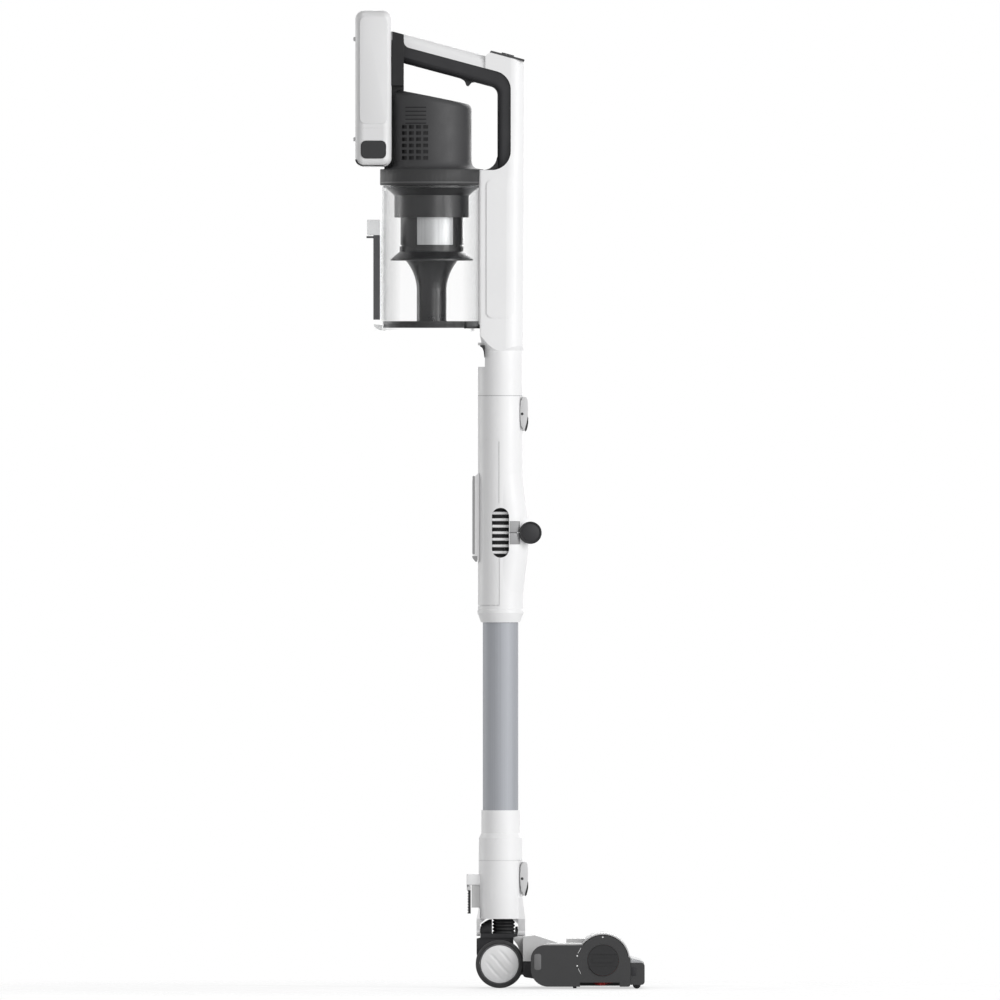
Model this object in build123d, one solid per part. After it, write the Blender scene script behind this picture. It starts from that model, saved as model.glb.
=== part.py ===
from build123d import *
import math
import os

# Cordless stick vacuum: hand unit with battery and dust cup, folding wand, swivel neck and floor head.
# Millimetres, +Z up, +X forward, Y across. The origin is on the floor under the wand's axis.

# Clearances
run_gap = 0.3
seat_gap = 0.1
pin_fit = 0.06
slide_gap = 0.4

# Wand stack, counted upwards from the floor
neck_seam_z = 148.0
skirt_height = 25.8
skirt_cone_height = 5.5
sleeve_height = 26.7
tube_length = 218.0
collar_height = 15.0
fold_below = 89.0
fold_above = 159.3
tube_bottom_z = neck_seam_z + skirt_height + skirt_cone_height + sleeve_height
tube_top_z = tube_bottom_z + tube_length
fold_z = tube_top_z + collar_height + fold_below
seam_z = fold_z + fold_above

# Round sections of the wand
wand_r = 26.2
tube_r = 20.6
tube_wall = 1.6
tube_insert = 20.0
sleeve_r = 22.3
skirt_r = 25.0
spigot_r = 20.0
spigot_length = 52.0
spigot_root = 12.0
duct_r = 16.5
socket_r = spigot_r + run_gap

# Fold joint
hinge_x = 34.8
hinge_r = 12.3
hinge_half = 22.0
knuckle_half = 11.0
hinge_pin_r = 4.0
hinge_cap_r = 13.0
hinge_cap_t = 2.0
bulge_height = 73.0
bulge_flat = 20.0
bulge_shift = 6.0
bulge_sink = 0.3
cover_edge_x = -1.7
cover_wall = 2.3
cover_above = 108.0
cover_below = 84.0
window_width = 19.8
window_height = 57.8
bracket_width = 11.9
bracket_height = 13.4
bracket_x = 16.6
bracket_t = 2.0
latch_rise = 6.6
latch_width = 18.0
latch_above = 69.0
latch_below = 33.0

# Ribbed hoses
fold_hose_r = 19.0
fold_hose_groove = 2.6
fold_hose_wall = 1.2
fold_hose_pitch = 7.6
fold_hose_ribs = 19
neck_hose_r = 13.2
neck_hose_groove = 1.8
neck_hose_wall = 1.0
neck_hose_pitch = 4.0
neck_hose_ribs = 8

# Release rockers on the wand and the neck
rocker_pivot_x = 25.1
rocker_drop = 21.4
rocker_half_height = 19.8
rocker_half_width = 8.0
rocker_reach = 6.8
rocker_back = 3.1
rocker_pin_r = 1.5
rocker_cheek = 2.2

# Spine, with heights counted from the seam to the wand
spine_rear_x = -26.2
spine_front_x = 28.1
spine_front_low_x = 26.4
spine_half = 25.5
spine_low_half = 26.4
spine_front_round = 21.0
spine_rear_round = 4.0
spine_top_half = 19.5
shoulder_bottom = 240.0
shoulder_top = 300.0
tube_zone_top = 52.0
tube_zone_blend = 40.0
strip_x = 11.9
strip_width = 15.5
strip_round = 22.0
loop_bottom = 261.5
notch_bottom = 33.3
notch_top = 58.2
notch_depth = 8.0
port_z = 192.0
port_r = 13.0
port_seal_wall = 2.5
panel_half_length = 16.2
panel_bottom = 90.0
panel_top = 250.0
panel_rise = 1.2
panel_round = 7.0

# Handle and control panel
handle_slope = 15.0
handle_rear_top = 419.5
handle_depth = 34.0
handle_shell_depth = 14.5
handle_half = 17.0
handle_round = 9.0
grip_round = 7.0
loop_round = 10.0
panel_length = 38.8
panel_rear_x = -11.0
panel_rise_z = 5.4
panel_edge_round = 1.0
panel_half = 19.0
panel_thick = 2.5
panel_lip = 1.5
panel_joint = 5.0
mode_button_r = 7.5
mode_button_rise = 1.4
mode_travel = 1.0
trigger_x = -38.5
trigger_length = 18.0
trigger_height = 6.5
trigger_half = 7.0
trigger_travel = 3.5

# Motor housing
cup_r = 58.9
cup_front_x = -20.9
motor_r = 46.2
motor_wall = 2.5
motor_round = 7.5
motor_rear_top = 353.4
motor_front_top = 339.0
collar_r = 60.0
collar_bore_r = 44.0
collar_ledge = 4.0
collar_ledge_t = 1.6
motor_collar_bottom = 244.1
motor_collar_top = 262.6
filter_height = 14.0
stator_r = 30.0
stator_bottom = 282.0
stator_height = 40.0
flange_t = 4.0
stator_hole_r = 4.5
stator_holes = 8
impeller_r = 31.0
impeller_height = 11.0
impeller_disc_t = 2.0
impeller_gap = 2.0
rotor_shaft_r = 3.0
blade_count = 9
blade_t = 1.6
vent_rows = 6
vent_columns = 4
vent_shift = 7.0
vent_low = 12.9
vent_pitch_z = 7.2
vent_pitch_x = 8.2
vent_length = 5.6
vent_height = 4.2

# Battery and its rail
rail_front_x = -112.2
rail_rear_x = -125.9
rail_half = 30.0
rail_low_half = 12.0
rail_step_gap = 3.0
rail_bottom = 262.7
rail_top = 422.5
tongue_half = 8.0
tongue_neck = 4.0
tongue_head = 5.0
tongue_lip = 5.0
tongue_stop = 10.0
battery_gap = 0.5
battery_depth = 42.0
battery_half = 36.0
battery_bottom = 265.4
battery_height = 181.1
battery_round = 10.0
cap_height = 44.8
battery_wall = 3.0
battery_nub = 2.5
battery_nub_height = 5.0
upper_nub_drop = 33.0
lower_nub_drop = 13.0
board_margin = 3.0
board_t = 1.6
board_drop = 3.0
cell_r = 9.1
cell_length = 65.0
cell_rows = 3
cell_layers = 2
cell_pitch = 20.0
button_length = 28.6
button_height = 20.3
button_round = 6.0
button_t = 4.0
button_travel = 1.5
button_proud = 0.6

# Dust cup, cyclone and lid
cup_wall = 2.4
cup_bottom = 82.3
cyclone_flange_t = 2.5
cup_top_gap = 0.5
cup_ledge = 3.0
cup_ledge_t = 3.0
funnel_height = 9.0
ring_r = 43.5
ring_height = 25.5
mesh_r = 36.4
mesh_t = 1.0
mesh_height = 33.6
mesh_columns = 24
mesh_rows = 4
mesh_hole_r = 1.9
core_wall = 2.0
lower_ring_height = 6.0
shroud_r = 47.7
shroud_drop = 10.5
cone_top_r = 30.2
cone_tail_r = 17.5
cone_drop = 32.0
cone_bend = 0.26
tail_gap = 3.0
core_slots = 8
core_slot_width = 10.0
lid_t = 7.0
lid_hinge_x = -32.5
lid_knuckle_r = 3.2
lid_knuckle_half = 7.0
lid_pin_r = 1.5
lid_ear_t = 4.7
lid_hinge_up = 76.5
lid_catch_half = 5.0
lid_swing_room = 2.6
lid_drop_room = 14.0
sill_x = -41.0
gasket_t = 2.2
gasket_width = 4.0
slider_half = 8.0
slider_t = 7.7
slider_gap = 1.2
slider_bottom = 88.0
slider_top = 186.0
slider_tab_height = 18.0
slider_tab_reach = 15.0
slider_travel = 5.0
rail_neck_half = 2.0
rail_head_half = 4.5
rail_head_t = 2.5
rail_foot_gap = 4.0
rail_top_gap = 12.0

# Neck, yoke and wheels
neck_r = 25.4
neck_bottom_z = 80.0
neck_socket_floor_z = 94.0
swivel_z = 66.0
leg_half = 6.0
leg_flare = 2.4
gusset_length = 7.0
gusset_drop = 6.0
gusset_half = 9.6
rear_leg_x = -27.8
rear_leg_t = 4.0
rear_leg_top_z = 92.0
front_leg_x = 20.4
front_leg_t = 8.2
front_leg_top_z = 105.0
swivel_pin_r = 2.5
lug_t = 3.2
rear_lug_t = 8.0
neck_hose_x = 3.7
yoke_plate_bottom_z = 58.0
yoke_plate_t = 5.0
yoke_plate_half = 19.0
yoke_rear_rise = 8.0
wheel_x = -1.0
wheel_r = 27.8
hub_r = 23.6
wheel_width = 16.0
wheel_inner_y = 34.0
axle_r = 4.0
cheek_half = 25.0
cheek_t = 6.0
duct_block_half = 17.0
elbow_r = 11.0
pipe_wall = 2.0
arm_r = 9.0
arm_t = 5.4
clip_half = 9.0
clip_top_z = 131.7
clip_bottom_z = 86.0
clip_rear_x = -39.2
clip_hook_height = 12.5
clip_lever_t = 3.6
clip_pivot_z = 116.6
clip_pin_r = 0.9
clip_cheek = 1.3
clip_rib_depth = 0.8
clip_rib_pitch = 3.2
clip_ribs = 8
barrel_r = 17.0
barrel_turns = (0, 35, 70)
hub_face_t = 3.0
tyre_round = 2.5

# Floor head
head_half = 130.0
side_plate_t = 6.0
brush_x = 118.8
brush_z = 33.0
bristle_tip_r = 29.4
bristle_t = 1.2
bristle_rows = 4
bristles_in_row = 96
bristle_turn = 140.0
brush_core_r = 16.0
bristle_sleeve_t = 1.2
chamber_r = 29.8
cover_shell = 1.4
base_bottom_z = 8.0
base_rear_x = 44.0
base_front_x = 150.4
split_z = 33.0
deck_z = 52.5
deck_round = 10.0
cover_inset = 2.0
fairing_half = 60.0
fairing_rear_x = 26.0
fairing_top_z = 61.4
nose_x = 166.9
bumper_bottom_z = 4.6
bumper_top_z = 30.2
nose_round = 4.0
lens_top_z = 36.0
side_rear_x = 35.1
side_top_z = 50.7
side_bottom_z = 2.6
side_bump_r = 29.0
side_notch_rear_x = 92.0
side_notch_front_x = 138.0
side_notch_z = 7.4
end_cap_r = 17.8
end_cap_proud = 1.5
bearing_block_t = 2.0
brush_motor_x = 68.0
brush_motor_r = 13.0
brush_motor_length = 70.0
motor_pulley_r = 6.0
brush_pulley_r = 13.0
belt_t = 1.6
belt_width = 5.0
belt_room = 10.0
roller_x = 157.8
roller_r = 4.6
roller_width = 14.0
roller_y = 92.0
roller_pin_r = 1.5
roller_cheek = 4.0
roller_foot_half = 3.5
roller_foot_z = 2.1
strip_foot_x = 86.0
strip_foot_t = 4.0
strip_foot_inset = 12.0
indicator_x = 76.5
indicator_length = 22.0
indicator_half = 30.0
indicator_rise = 4.5
brush_shaft_r = 4.0
motor_shaft_r = 2.5
motor_shaft_in = 12.0
chamber_wall = 2.5
duct_half = 24.0
duct_low_z = 14.0
duct_high_z = 44.0
fairing_bottom_z = 31.2
fairing_rear_top_z = 59.2
grip_half = 2.4
bumper_half = 127.0
strip_foot_gap = 0.6
motor_bay_wall = 6.0
inner_half = head_half - side_plate_t - seat_gap
bearing_outer_y = side_plate_t - head_half - bearing_block_t
belt_low_y = inner_half - belt_room
chamber_end_y = belt_low_y - chamber_wall
motor_high_y = chamber_end_y - motor_bay_wall
motor_low_y = motor_high_y - brush_motor_length

# Places worked out from the sizes above
cup_axis_x = cup_front_x - cup_r
cup_top = motor_collar_bottom - cup_top_gap
handle_end_x = panel_rear_x - panel_lip - panel_joint
slope = math.tan(math.radians(handle_slope))
tilt_rot = Rot(0, handle_slope, 0)
tall = 2000.0


# Shapes that the pieces share
def side_face(corners):
    """Face in the XZ plane from (x, z, corner radius) corners."""
    points = [(x, z) for x, z, radius in corners]
    radii = [radius for x, z, radius in corners]
    return Plane.XZ * make_face(FilletPolyline(*points, radius=radii, close=True))


def across(corners, half):
    """Side outline given the same width on both sides of the middle plane."""
    return extrude(side_face(corners), amount=half, both=True)


def between(corners, y_low, y_high):
    """Side outline filled from y_low to y_high."""
    return Pos(0, y_high, 0) * extrude(side_face(corners), amount=y_high - y_low)


def box(x_low, x_high, y_low, y_high, z_low, z_high):
    centre = Pos((x_low + x_high) / 2, (y_low + y_high) / 2, (z_low + z_high) / 2)
    return centre * Box(x_high - x_low, y_high - y_low, z_high - z_low)


def post(x, y, radius, z_low, z_high):
    """Upright cylinder."""
    return Pos(x, y, (z_low + z_high) / 2) * Cylinder(radius, z_high - z_low)


def pin(x, z, radius, y_low, y_high):
    """Cylinder along Y."""
    return Pos(x, (y_low + y_high) / 2, z) * Rot(90, 0, 0) * Cylinder(radius, y_high - y_low)


def rod(y, z, radius, x_low, x_high):
    """Cylinder along X."""
    return Pos((x_low + x_high) / 2, y, z) * Rot(0, 90, 0) * Cylinder(radius, x_high - x_low)


def turned(x, profile):
    """Solid of revolution about an upright axis at x from (radius, z) corners."""
    face = Plane.XZ * make_face(Polyline(*profile, close=True))
    return Pos(x, 0, 0) * revolve(face, Axis.Z)


def mirrored(solid):
    """The same solid on the other side of the middle plane."""
    return mirror(solid, about=Plane.XZ)


def ribbed_hose(length_plane, crest_r, groove, wall, pitch, ribs):
    """Ribbed hose along a plane's normal, centred on its origin, each rib a ruled loft of four circles."""
    start = -ribs * pitch / 2
    sections = []
    for rib in range(ribs):
        for share, depth in ((0.04, groove), (0.25, 0), (0.75, 0), (0.96, groove)):
            place = length_plane.offset(start + (rib + share) * pitch)
            sections.append(place * Circle(crest_r - depth))
    sections.insert(0, length_plane.offset(start) * Circle(crest_r - groove))
    sections.append(length_plane.offset(-start) * Circle(crest_r - groove))
    skin = loft(sections, ruled=True)
    bore = length_plane * Cylinder(crest_r - groove - wall, ribs * pitch + 2)
    return skin - bore


def rounded(solid, radius, wanted):
    """Solid with those edges rounded whose middle point passes the test."""
    return fillet([edge for edge in solid.edges() if wanted(edge.center())], radius)


def handle_top_z(x):
    return seam_z + handle_rear_top - (x - rail_front_x) * slope


# Spine and handle
def spigot_tube(z, grow, reach):
    """Tube that goes down into a socket from a seam, grown by a clearance and run on upwards into its seat."""
    return post(0, 0, spigot_r + grow, z - spigot_length, z + spigot_root + reach)


def make_spigot(z):
    return spigot_tube(z, 0, 0) - post(0, 0, duct_r, 0, tall)


def spine_section(z, half, front_x, corner, grow):
    """Flat-backed section of the spine with a rounded front."""
    outline = FilletPolyline(
        (spine_rear_x, -half - grow), (front_x + grow, -half - grow),
        (front_x + grow, half + grow), (spine_rear_x, half + grow),
        radius=[spine_rear_round, corner + grow, corner + grow, spine_rear_round], close=True)
    return Pos(0, 0, z) * make_face(outline)


def spine_envelope(grow=0.0):
    top_corner = spine_front_round * spine_top_half / spine_half
    return loft([
        spine_section(seam_z, spine_low_half, spine_front_low_x, spine_front_round, grow),
        spine_section(seam_z + shoulder_bottom, spine_half, spine_front_x, spine_front_round, grow),
        spine_section(seam_z + shoulder_top, spine_top_half, spine_front_x, top_corner, grow),
        spine_section(seam_z + handle_rear_top + panel_lip, spine_top_half, spine_front_x, top_corner, grow),
    ], ruled=True)


def cup_hollow(radius, z_low, z_high):
    return post(cup_axis_x, 0, radius, seam_z + z_low, seam_z + z_high)


def make_spine():
    bed = panel_rise_z - seat_gap
    side = across([
        (spine_rear_x - 1, seam_z, 0),
        (spine_front_x + 1, seam_z, 0),
        (spine_front_x + 1, handle_top_z(spine_front_x + 1) + bed, 0),
        (panel_rear_x - panel_lip, handle_top_z(panel_rear_x - panel_lip) + bed, 0),
        (handle_end_x, handle_top_z(handle_end_x), 0),
        (handle_end_x, handle_top_z(handle_end_x) - handle_shell_depth, 0),
        (strip_x, handle_top_z(strip_x) - handle_shell_depth, strip_round),
        (strip_x, seam_z + loop_bottom, strip_round),
        (spine_rear_x - 1, seam_z + loop_bottom, spine_rear_round),
    ], spine_half * 2)
    round_zone = turned(0, [
        (0, seam_z), (wand_r, seam_z), (wand_r, seam_z + tube_zone_top),
        (wand_r + tube_zone_blend / 2, seam_z + tube_zone_top + tube_zone_blend),
        (wand_r + tube_zone_blend / 2, tall), (0, tall)])
    body = spine_envelope() & side & round_zone
    body -= spigot_tube(seam_z, pin_fit / 2, seat_gap)
    body -= cup_hollow(cup_r + 2 * run_gap, cup_bottom - 1, motor_collar_bottom)
    body -= cup_hollow(cup_r + lid_swing_room, cup_bottom - lid_t - lid_drop_room, cup_bottom)
    body -= cup_hollow(collar_r + seat_gap, cup_top, motor_collar_top + 1)
    body -= post(0, 0, duct_r, seam_z - spigot_length - 1, seam_z + port_z + port_r)
    body -= rod(0, seam_z + port_z, port_r + port_seal_wall + seat_gap, spine_rear_x, 0)
    body -= box(spine_rear_x - 1, spine_rear_x + notch_depth, -spine_half * 2, spine_half * 2,
                seam_z + notch_bottom, seam_z + notch_top)
    return body + make_side_panels()


def make_port_seal():
    ring = rod(0, seam_z + port_z, port_r + port_seal_wall, spine_rear_x, -duct_r + 1)
    ring -= rod(0, seam_z + port_z, port_r, spine_rear_x - 1, 1)
    ring -= cup_hollow(cup_r + run_gap, cup_bottom, motor_collar_bottom)
    return ring - post(0, 0, duct_r, seam_z, seam_z + port_z + port_r + 5)


def make_side_panels():
    plate = across([
        (-panel_half_length, seam_z + panel_bottom, panel_round),
        (panel_half_length, seam_z + panel_bottom, panel_round),
        (panel_half_length, seam_z + panel_top, panel_round),
        (-panel_half_length, seam_z + panel_top, panel_round),
    ], spine_half * 2)
    return (plate & spine_envelope(panel_rise)) - spine_envelope()


def make_handle_shell():
    shell = across([
        (rail_front_x, handle_top_z(rail_front_x), 0),
        (rail_front_x, handle_top_z(rail_front_x) - handle_shell_depth, 0),
        (handle_end_x - seat_gap, handle_top_z(handle_end_x) - handle_shell_depth, 0),
        (handle_end_x - seat_gap, handle_top_z(handle_end_x), 0),
    ], handle_half)
    edge_y = handle_half - 1
    return rounded(shell, handle_round, lambda at: at.Z > handle_top_z(at.X) - 1 and abs(at.Y) > edge_y)


def trigger_form(grow, lift):
    """Trigger as a block square to the handle, grown by a clearance and raised by its travel."""
    middle = Pos(trigger_x, 0, handle_top_z(trigger_x) - handle_depth) * tilt_rot
    height = trigger_height * 2 + lift
    form = Box(trigger_length + 2 * grow, 2 * (trigger_half + grow), height)
    return middle * Pos(0, 0, lift / 2) * form


def make_trigger():
    """Pointed nose under the handle with a hollow for the finger behind it."""
    half = trigger_length / 2
    high = trigger_height
    outline = across([
        (-half, high, 0), (half, high, 0), (half, 0, 0), (half * 0.6, -high * 0.2, 2),
        (half * 0.35, -high, 1), (half * 0.05, -high * 0.95, 1), (-half * 0.35, -high * 0.2, 5), (-half, 0, 0),
    ], trigger_half)
    return Pos(trigger_x, 0, handle_top_z(trigger_x) - handle_depth) * tilt_rot * outline


def make_grip_frame(spine):
    inner_x = strip_x - strip_width
    under = handle_top_z(rail_front_x) - handle_depth
    frame = across([
        (rail_front_x, handle_top_z(rail_front_x) - handle_shell_depth - seat_gap, 0),
        (strip_x, handle_top_z(strip_x) - handle_shell_depth - seat_gap, strip_round),
        (strip_x, seam_z + loop_bottom + seat_gap, 0),
        (inner_x, seam_z + loop_bottom + seat_gap, 0),
        (inner_x, handle_top_z(inner_x) - handle_depth, loop_round),
        (rail_front_x, under, 0),
    ], handle_half)
    low = seam_z + loop_bottom + 1

    def faces_hand(at):
        along = rail_front_x + 1 < at.X < inner_x + 1
        return along and abs(at.Y) > handle_half - 1 and low < at.Z < handle_top_z(at.X) - handle_depth + 6

    frame = rounded(frame, grip_round, faces_hand)
    return frame - spine - trigger_form(slide_gap, trigger_travel + 2 * slide_gap)


def make_control_panel():
    front_x = panel_rear_x + panel_length
    low = panel_rise_z
    high = panel_rise_z + panel_thick
    plate = across([
        (panel_rear_x - panel_lip, handle_top_z(panel_rear_x - panel_lip) + low, 0),
        (panel_rear_x, handle_top_z(panel_rear_x) + high, panel_edge_round),
        (front_x, handle_top_z(front_x) + high, panel_edge_round),
        (front_x, handle_top_z(front_x) + low, 0),
    ], panel_half)
    return plate - mode_button_form(slide_gap, mode_travel + slide_gap)


def mode_button_form(grow, sink):
    """Round mode button square to the panel, grown by a clearance and sunk by its travel."""
    middle_x = panel_rear_x + panel_length / 2
    height = mode_button_rise + panel_thick / 2 + sink
    top = Pos(middle_x, 0, handle_top_z(middle_x) + panel_rise_z + panel_thick) * tilt_rot
    return top * Pos(0, 0, mode_button_rise - height / 2) * Cylinder(mode_button_r + grow, height)


# Motor housing and what it holds
def motor_top_z(x):
    front_x = cup_axis_x + motor_r - motor_round
    drop = (motor_rear_top - motor_front_top) / (front_x - rail_front_x)
    return seam_z + motor_rear_top - (x - rail_front_x) * drop


def motor_form(inset):
    radius = motor_r - inset
    low = seam_z + motor_collar_top - inset
    rear_x = cup_axis_x - radius - 1
    front_x = cup_axis_x + radius + 1
    side = across([
        (rear_x, low, 0), (front_x, low, 0),
        (front_x, motor_top_z(front_x) - inset, 0), (rear_x, motor_top_z(rear_x) - inset, 0),
    ], motor_r * 2)
    form = side & post(cup_axis_x, 0, radius, low, tall)
    return fillet(form.edges().sort_by(Axis.Z)[-1], motor_round - inset)


def make_motor_housing():
    shell = motor_form(0) - motor_form(motor_wall)
    slot_half = rail_low_half + seat_gap
    shell -= box(rail_rear_x * 2, rail_front_x + seat_gap, -slot_half, slot_half, seam_z, tall)
    slots = []
    for row in range(vent_rows):
        for column in range(vent_columns):
            x = cup_axis_x - vent_shift + (column + 1 - vent_columns) * vent_pitch_x
            z = seam_z + motor_collar_top + vent_low + row * vent_pitch_z
            slots.append(Pos(x, 0, z) * Box(vent_length, motor_r * 3, vent_height))
    return shell - slots


def make_motor_collar():
    ring = cup_hollow(collar_r, motor_collar_bottom, motor_collar_top)
    ring -= cup_hollow(collar_bore_r, motor_collar_bottom + collar_ledge_t, motor_collar_top + 1)
    return ring - cup_hollow(collar_bore_r - collar_ledge, motor_collar_bottom - 1, motor_collar_top)


def make_filter():
    low = motor_collar_bottom + collar_ledge_t
    return cup_hollow(collar_bore_r - seat_gap, low, low + filter_height)


def make_stator():
    body = cup_hollow(stator_r, stator_bottom, stator_bottom + stator_height)
    flange = cup_hollow(motor_r - motor_wall - seat_gap, stator_bottom, stator_bottom + flange_t)
    flange -= box(rail_rear_x * 2, rail_front_x + seat_gap, -motor_r, motor_r, seam_z, tall)
    ring_r = (stator_r + motor_r - motor_wall) / 2
    for hole in range(stator_holes):
        angle = 2 * math.pi * (hole + 0.5) / stator_holes
        flange -= Pos(ring_r * math.cos(angle), ring_r * math.sin(angle), 0) * cup_hollow(
            stator_hole_r, stator_bottom - 1, stator_bottom + flange_t + 1)
    return body + flange - cup_hollow(rotor_shaft_r + pin_fit, stator_bottom - 1, tall)


def make_fan_rotor():
    top = stator_bottom - impeller_gap
    rotor = cup_hollow(rotor_shaft_r, top - impeller_height, stator_bottom + stator_height)
    rotor += cup_hollow(rotor_shaft_r * 3, top - impeller_height, top)
    rotor += cup_hollow(impeller_r, top - impeller_disc_t, top)
    blade_length = impeller_r - rotor_shaft_r * 2
    for blade in range(blade_count):
        vane = Pos(rotor_shaft_r * 2 + blade_length / 2, 0, 0) * Box(blade_length, blade_t, impeller_height)
        middle = Pos(cup_axis_x, 0, seam_z + top - impeller_height / 2)
        rotor += middle * Rot(0, 0, 360 * blade / blade_count) * vane
    return rotor


# Battery on its rail
def tongue_form(grow, reach=0.0):
    """T tongue of the rail, grown by a clearance and run on downwards to open the battery's groove."""
    low = seam_z + rail_bottom - grow - reach
    high = seam_z + rail_top - tongue_stop + grow
    neck = box(rail_rear_x - tongue_neck - 1, rail_rear_x, -tongue_half - grow, tongue_half + grow, low, high)
    head_half = tongue_half + tongue_lip + grow
    head_rear_x = rail_rear_x - tongue_neck - tongue_head - grow
    return neck + box(head_rear_x, rail_rear_x - tongue_neck + grow, -head_half, head_half, low, high)


def make_battery_rail():
    slope_top = rail_top - (rail_front_x - rail_rear_x) * slope
    step_z = motor_top_z(rail_rear_x) + rail_step_gap
    plate = across([
        (rail_rear_x, step_z, 0), (rail_front_x, step_z, 0),
        (rail_front_x, seam_z + slope_top, 0), (rail_rear_x, seam_z + rail_top, 0),
    ], rail_half)
    plate += box(rail_rear_x, rail_front_x, -rail_low_half, rail_low_half, seam_z + rail_bottom, step_z + 1)
    return plate + tongue_form(0)


def battery_block(inset):
    """Rounded block of the battery, made smaller by a wall on every side."""
    front_x = rail_rear_x - battery_gap - inset
    rear_x = rail_rear_x - battery_gap - battery_depth + inset
    half = battery_half - inset
    low = seam_z + battery_bottom + inset
    high = seam_z + battery_bottom + battery_height - inset
    block = box(rear_x, front_x, -half, half, low, high)
    return fillet(block.edges(), battery_round - inset)


def battery_cavity():
    front_x = rail_rear_x - tongue_neck - tongue_head - slide_gap - battery_wall / 2
    return battery_block(battery_wall) & box(-tall, front_x, -tall, tall, 0, tall)


def battery_split(z_low, z_high):
    return box(-tall, 0, -battery_half * 2, battery_half * 2, z_low, z_high)


def battery_nub_at(z):
    rear_x = rail_rear_x - battery_gap - battery_depth
    bump = box(rear_x - battery_nub, rear_x + 1, -battery_half / 2, battery_half / 2,
               z - battery_nub_height / 2, z + battery_nub_height / 2)
    return fillet(bump.faces().sort_by(Axis.X)[0].edges(), battery_nub * 0.6)


def make_battery_case():
    split_level = seam_z + battery_bottom + cap_height
    shell = battery_block(0) - battery_cavity() - tongue_form(slide_gap, battery_height)
    shell &= battery_split(split_level, tall)
    return shell + battery_nub_at(seam_z + battery_bottom + battery_height - upper_nub_drop)


def battery_button_form(grow, sink):
    """Button on the near side of the battery, grown by a clearance and sunk by its travel."""
    middle_x = rail_rear_x - battery_gap - battery_depth / 2
    middle_z = seam_z + battery_bottom + cap_height * 0.44
    plate = Plane.XZ * RectangleRounded(button_length + 2 * grow, button_height + 2 * grow, button_round)
    outer_y = -battery_half - button_proud
    return Pos(middle_x, outer_y + button_t + sink, middle_z) * extrude(plate, amount=button_t + sink)


def make_battery_cap():
    split_level = seam_z + battery_bottom + cap_height - seat_gap
    pocket = battery_button_form(slide_gap, button_travel + slide_gap)
    inside = battery_half - button_t - button_travel - battery_wall
    room = battery_cavity() & box(-tall, 0, -inside, inside, 0, tall)
    shell = battery_block(0) - room - tongue_form(slide_gap, battery_height) - pocket - mirrored(pocket)
    shell &= battery_split(0, split_level)
    return shell + battery_nub_at(seam_z + battery_bottom + cap_height - lower_nub_drop)


def cell_centres():
    front_x = rail_rear_x - tongue_neck - tongue_head - slide_gap - battery_wall / 2
    rear_x = rail_rear_x - battery_gap - battery_depth + battery_wall
    middle_x = (front_x + rear_x) / 2
    return [(middle_x, (row - (cell_rows - 1) / 2) * cell_pitch) for row in range(cell_rows)]


def make_battery_cells():
    low = seam_z + battery_bottom + cap_height + seat_gap
    cells = []
    for layer in range(cell_layers):
        base = low + layer * (cell_length + seat_gap)
        cells += [post(x, y, cell_r, base, base + cell_length) for x, y in cell_centres()]
    return cells


def make_cell_holder():
    low = seam_z + battery_bottom + cap_height + cell_length * 0.3
    high = low + cell_length * 1.2
    holder = battery_cavity() & battery_split(low, high)
    inner = offset(holder, -seat_gap)
    for x, y in cell_centres():
        inner -= post(x, y, cell_r + seat_gap, low - 1, high + 1)
    return inner


def make_battery_board():
    low = seam_z + battery_bottom + cap_height - board_drop
    inside = battery_half - button_t - button_travel - battery_wall - board_margin
    front_x = rail_rear_x - tongue_neck - tongue_head - slide_gap - battery_wall / 2 - seat_gap
    rear_x = rail_rear_x - battery_gap - battery_depth + battery_wall + seat_gap
    return box(rear_x, front_x, -inside, inside, low, low + board_t)


# Dust cup with its cyclone, lid and slider
def make_cup_wall():
    inner_r = cup_r - cup_wall
    wall = cup_hollow(cup_r, cup_bottom, cup_top) - cup_hollow(inner_r, cup_bottom - 1, cup_top + 1)
    ledge_top = cup_top - cyclone_flange_t
    ledge = cup_hollow(inner_r + 1, ledge_top - cup_ledge_t, ledge_top)
    wall += ledge - cup_hollow(inner_r - cup_ledge, cup_bottom, cup_top)
    sill = cup_hollow(cup_r, lid_hinge_up + lid_knuckle_r + 2 * run_gap, cup_bottom + 1)
    wall += sill & box(sill_x + run_gap, 0, -cup_r, cup_r, 0, tall)
    ear_top = seam_z + cup_bottom
    hinge_z = seam_z + lid_hinge_up
    for side in (-1, 1):
        near = side * (lid_knuckle_half + run_gap)
        far = side * (lid_knuckle_half + run_gap + lid_ear_t)
        low, high = sorted((near, far))
        wall += pin(lid_hinge_x, hinge_z, lid_knuckle_r, low, high)
        wall += box(lid_hinge_x - lid_knuckle_r, lid_hinge_x + lid_knuckle_r, low, high, hinge_z, ear_top)
    wall -= pin(lid_hinge_x, hinge_z, lid_pin_r + pin_fit / 2, -cup_r, cup_r)
    wall += slider_rail(0, slider_bottom + slider_travel + rail_foot_gap, slider_top - rail_top_gap)
    return wall - rod(0, seam_z + port_z, port_r, cup_axis_x, 0)


def slider_rail(grow, z_low, z_high):
    """T rail on the rear of the cup that the slider runs on."""
    rear_x = cup_axis_x - cup_r
    head_x = rear_x - slider_gap - rail_head_t
    neck = box(head_x, rear_x + cup_wall / 2, -rail_neck_half - grow, rail_neck_half + grow,
               seam_z + z_low, seam_z + z_high)
    return neck + box(head_x - rail_head_t - grow, head_x + grow, -rail_head_half - grow,
                      rail_head_half + grow, seam_z + z_low, seam_z + z_high)


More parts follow.
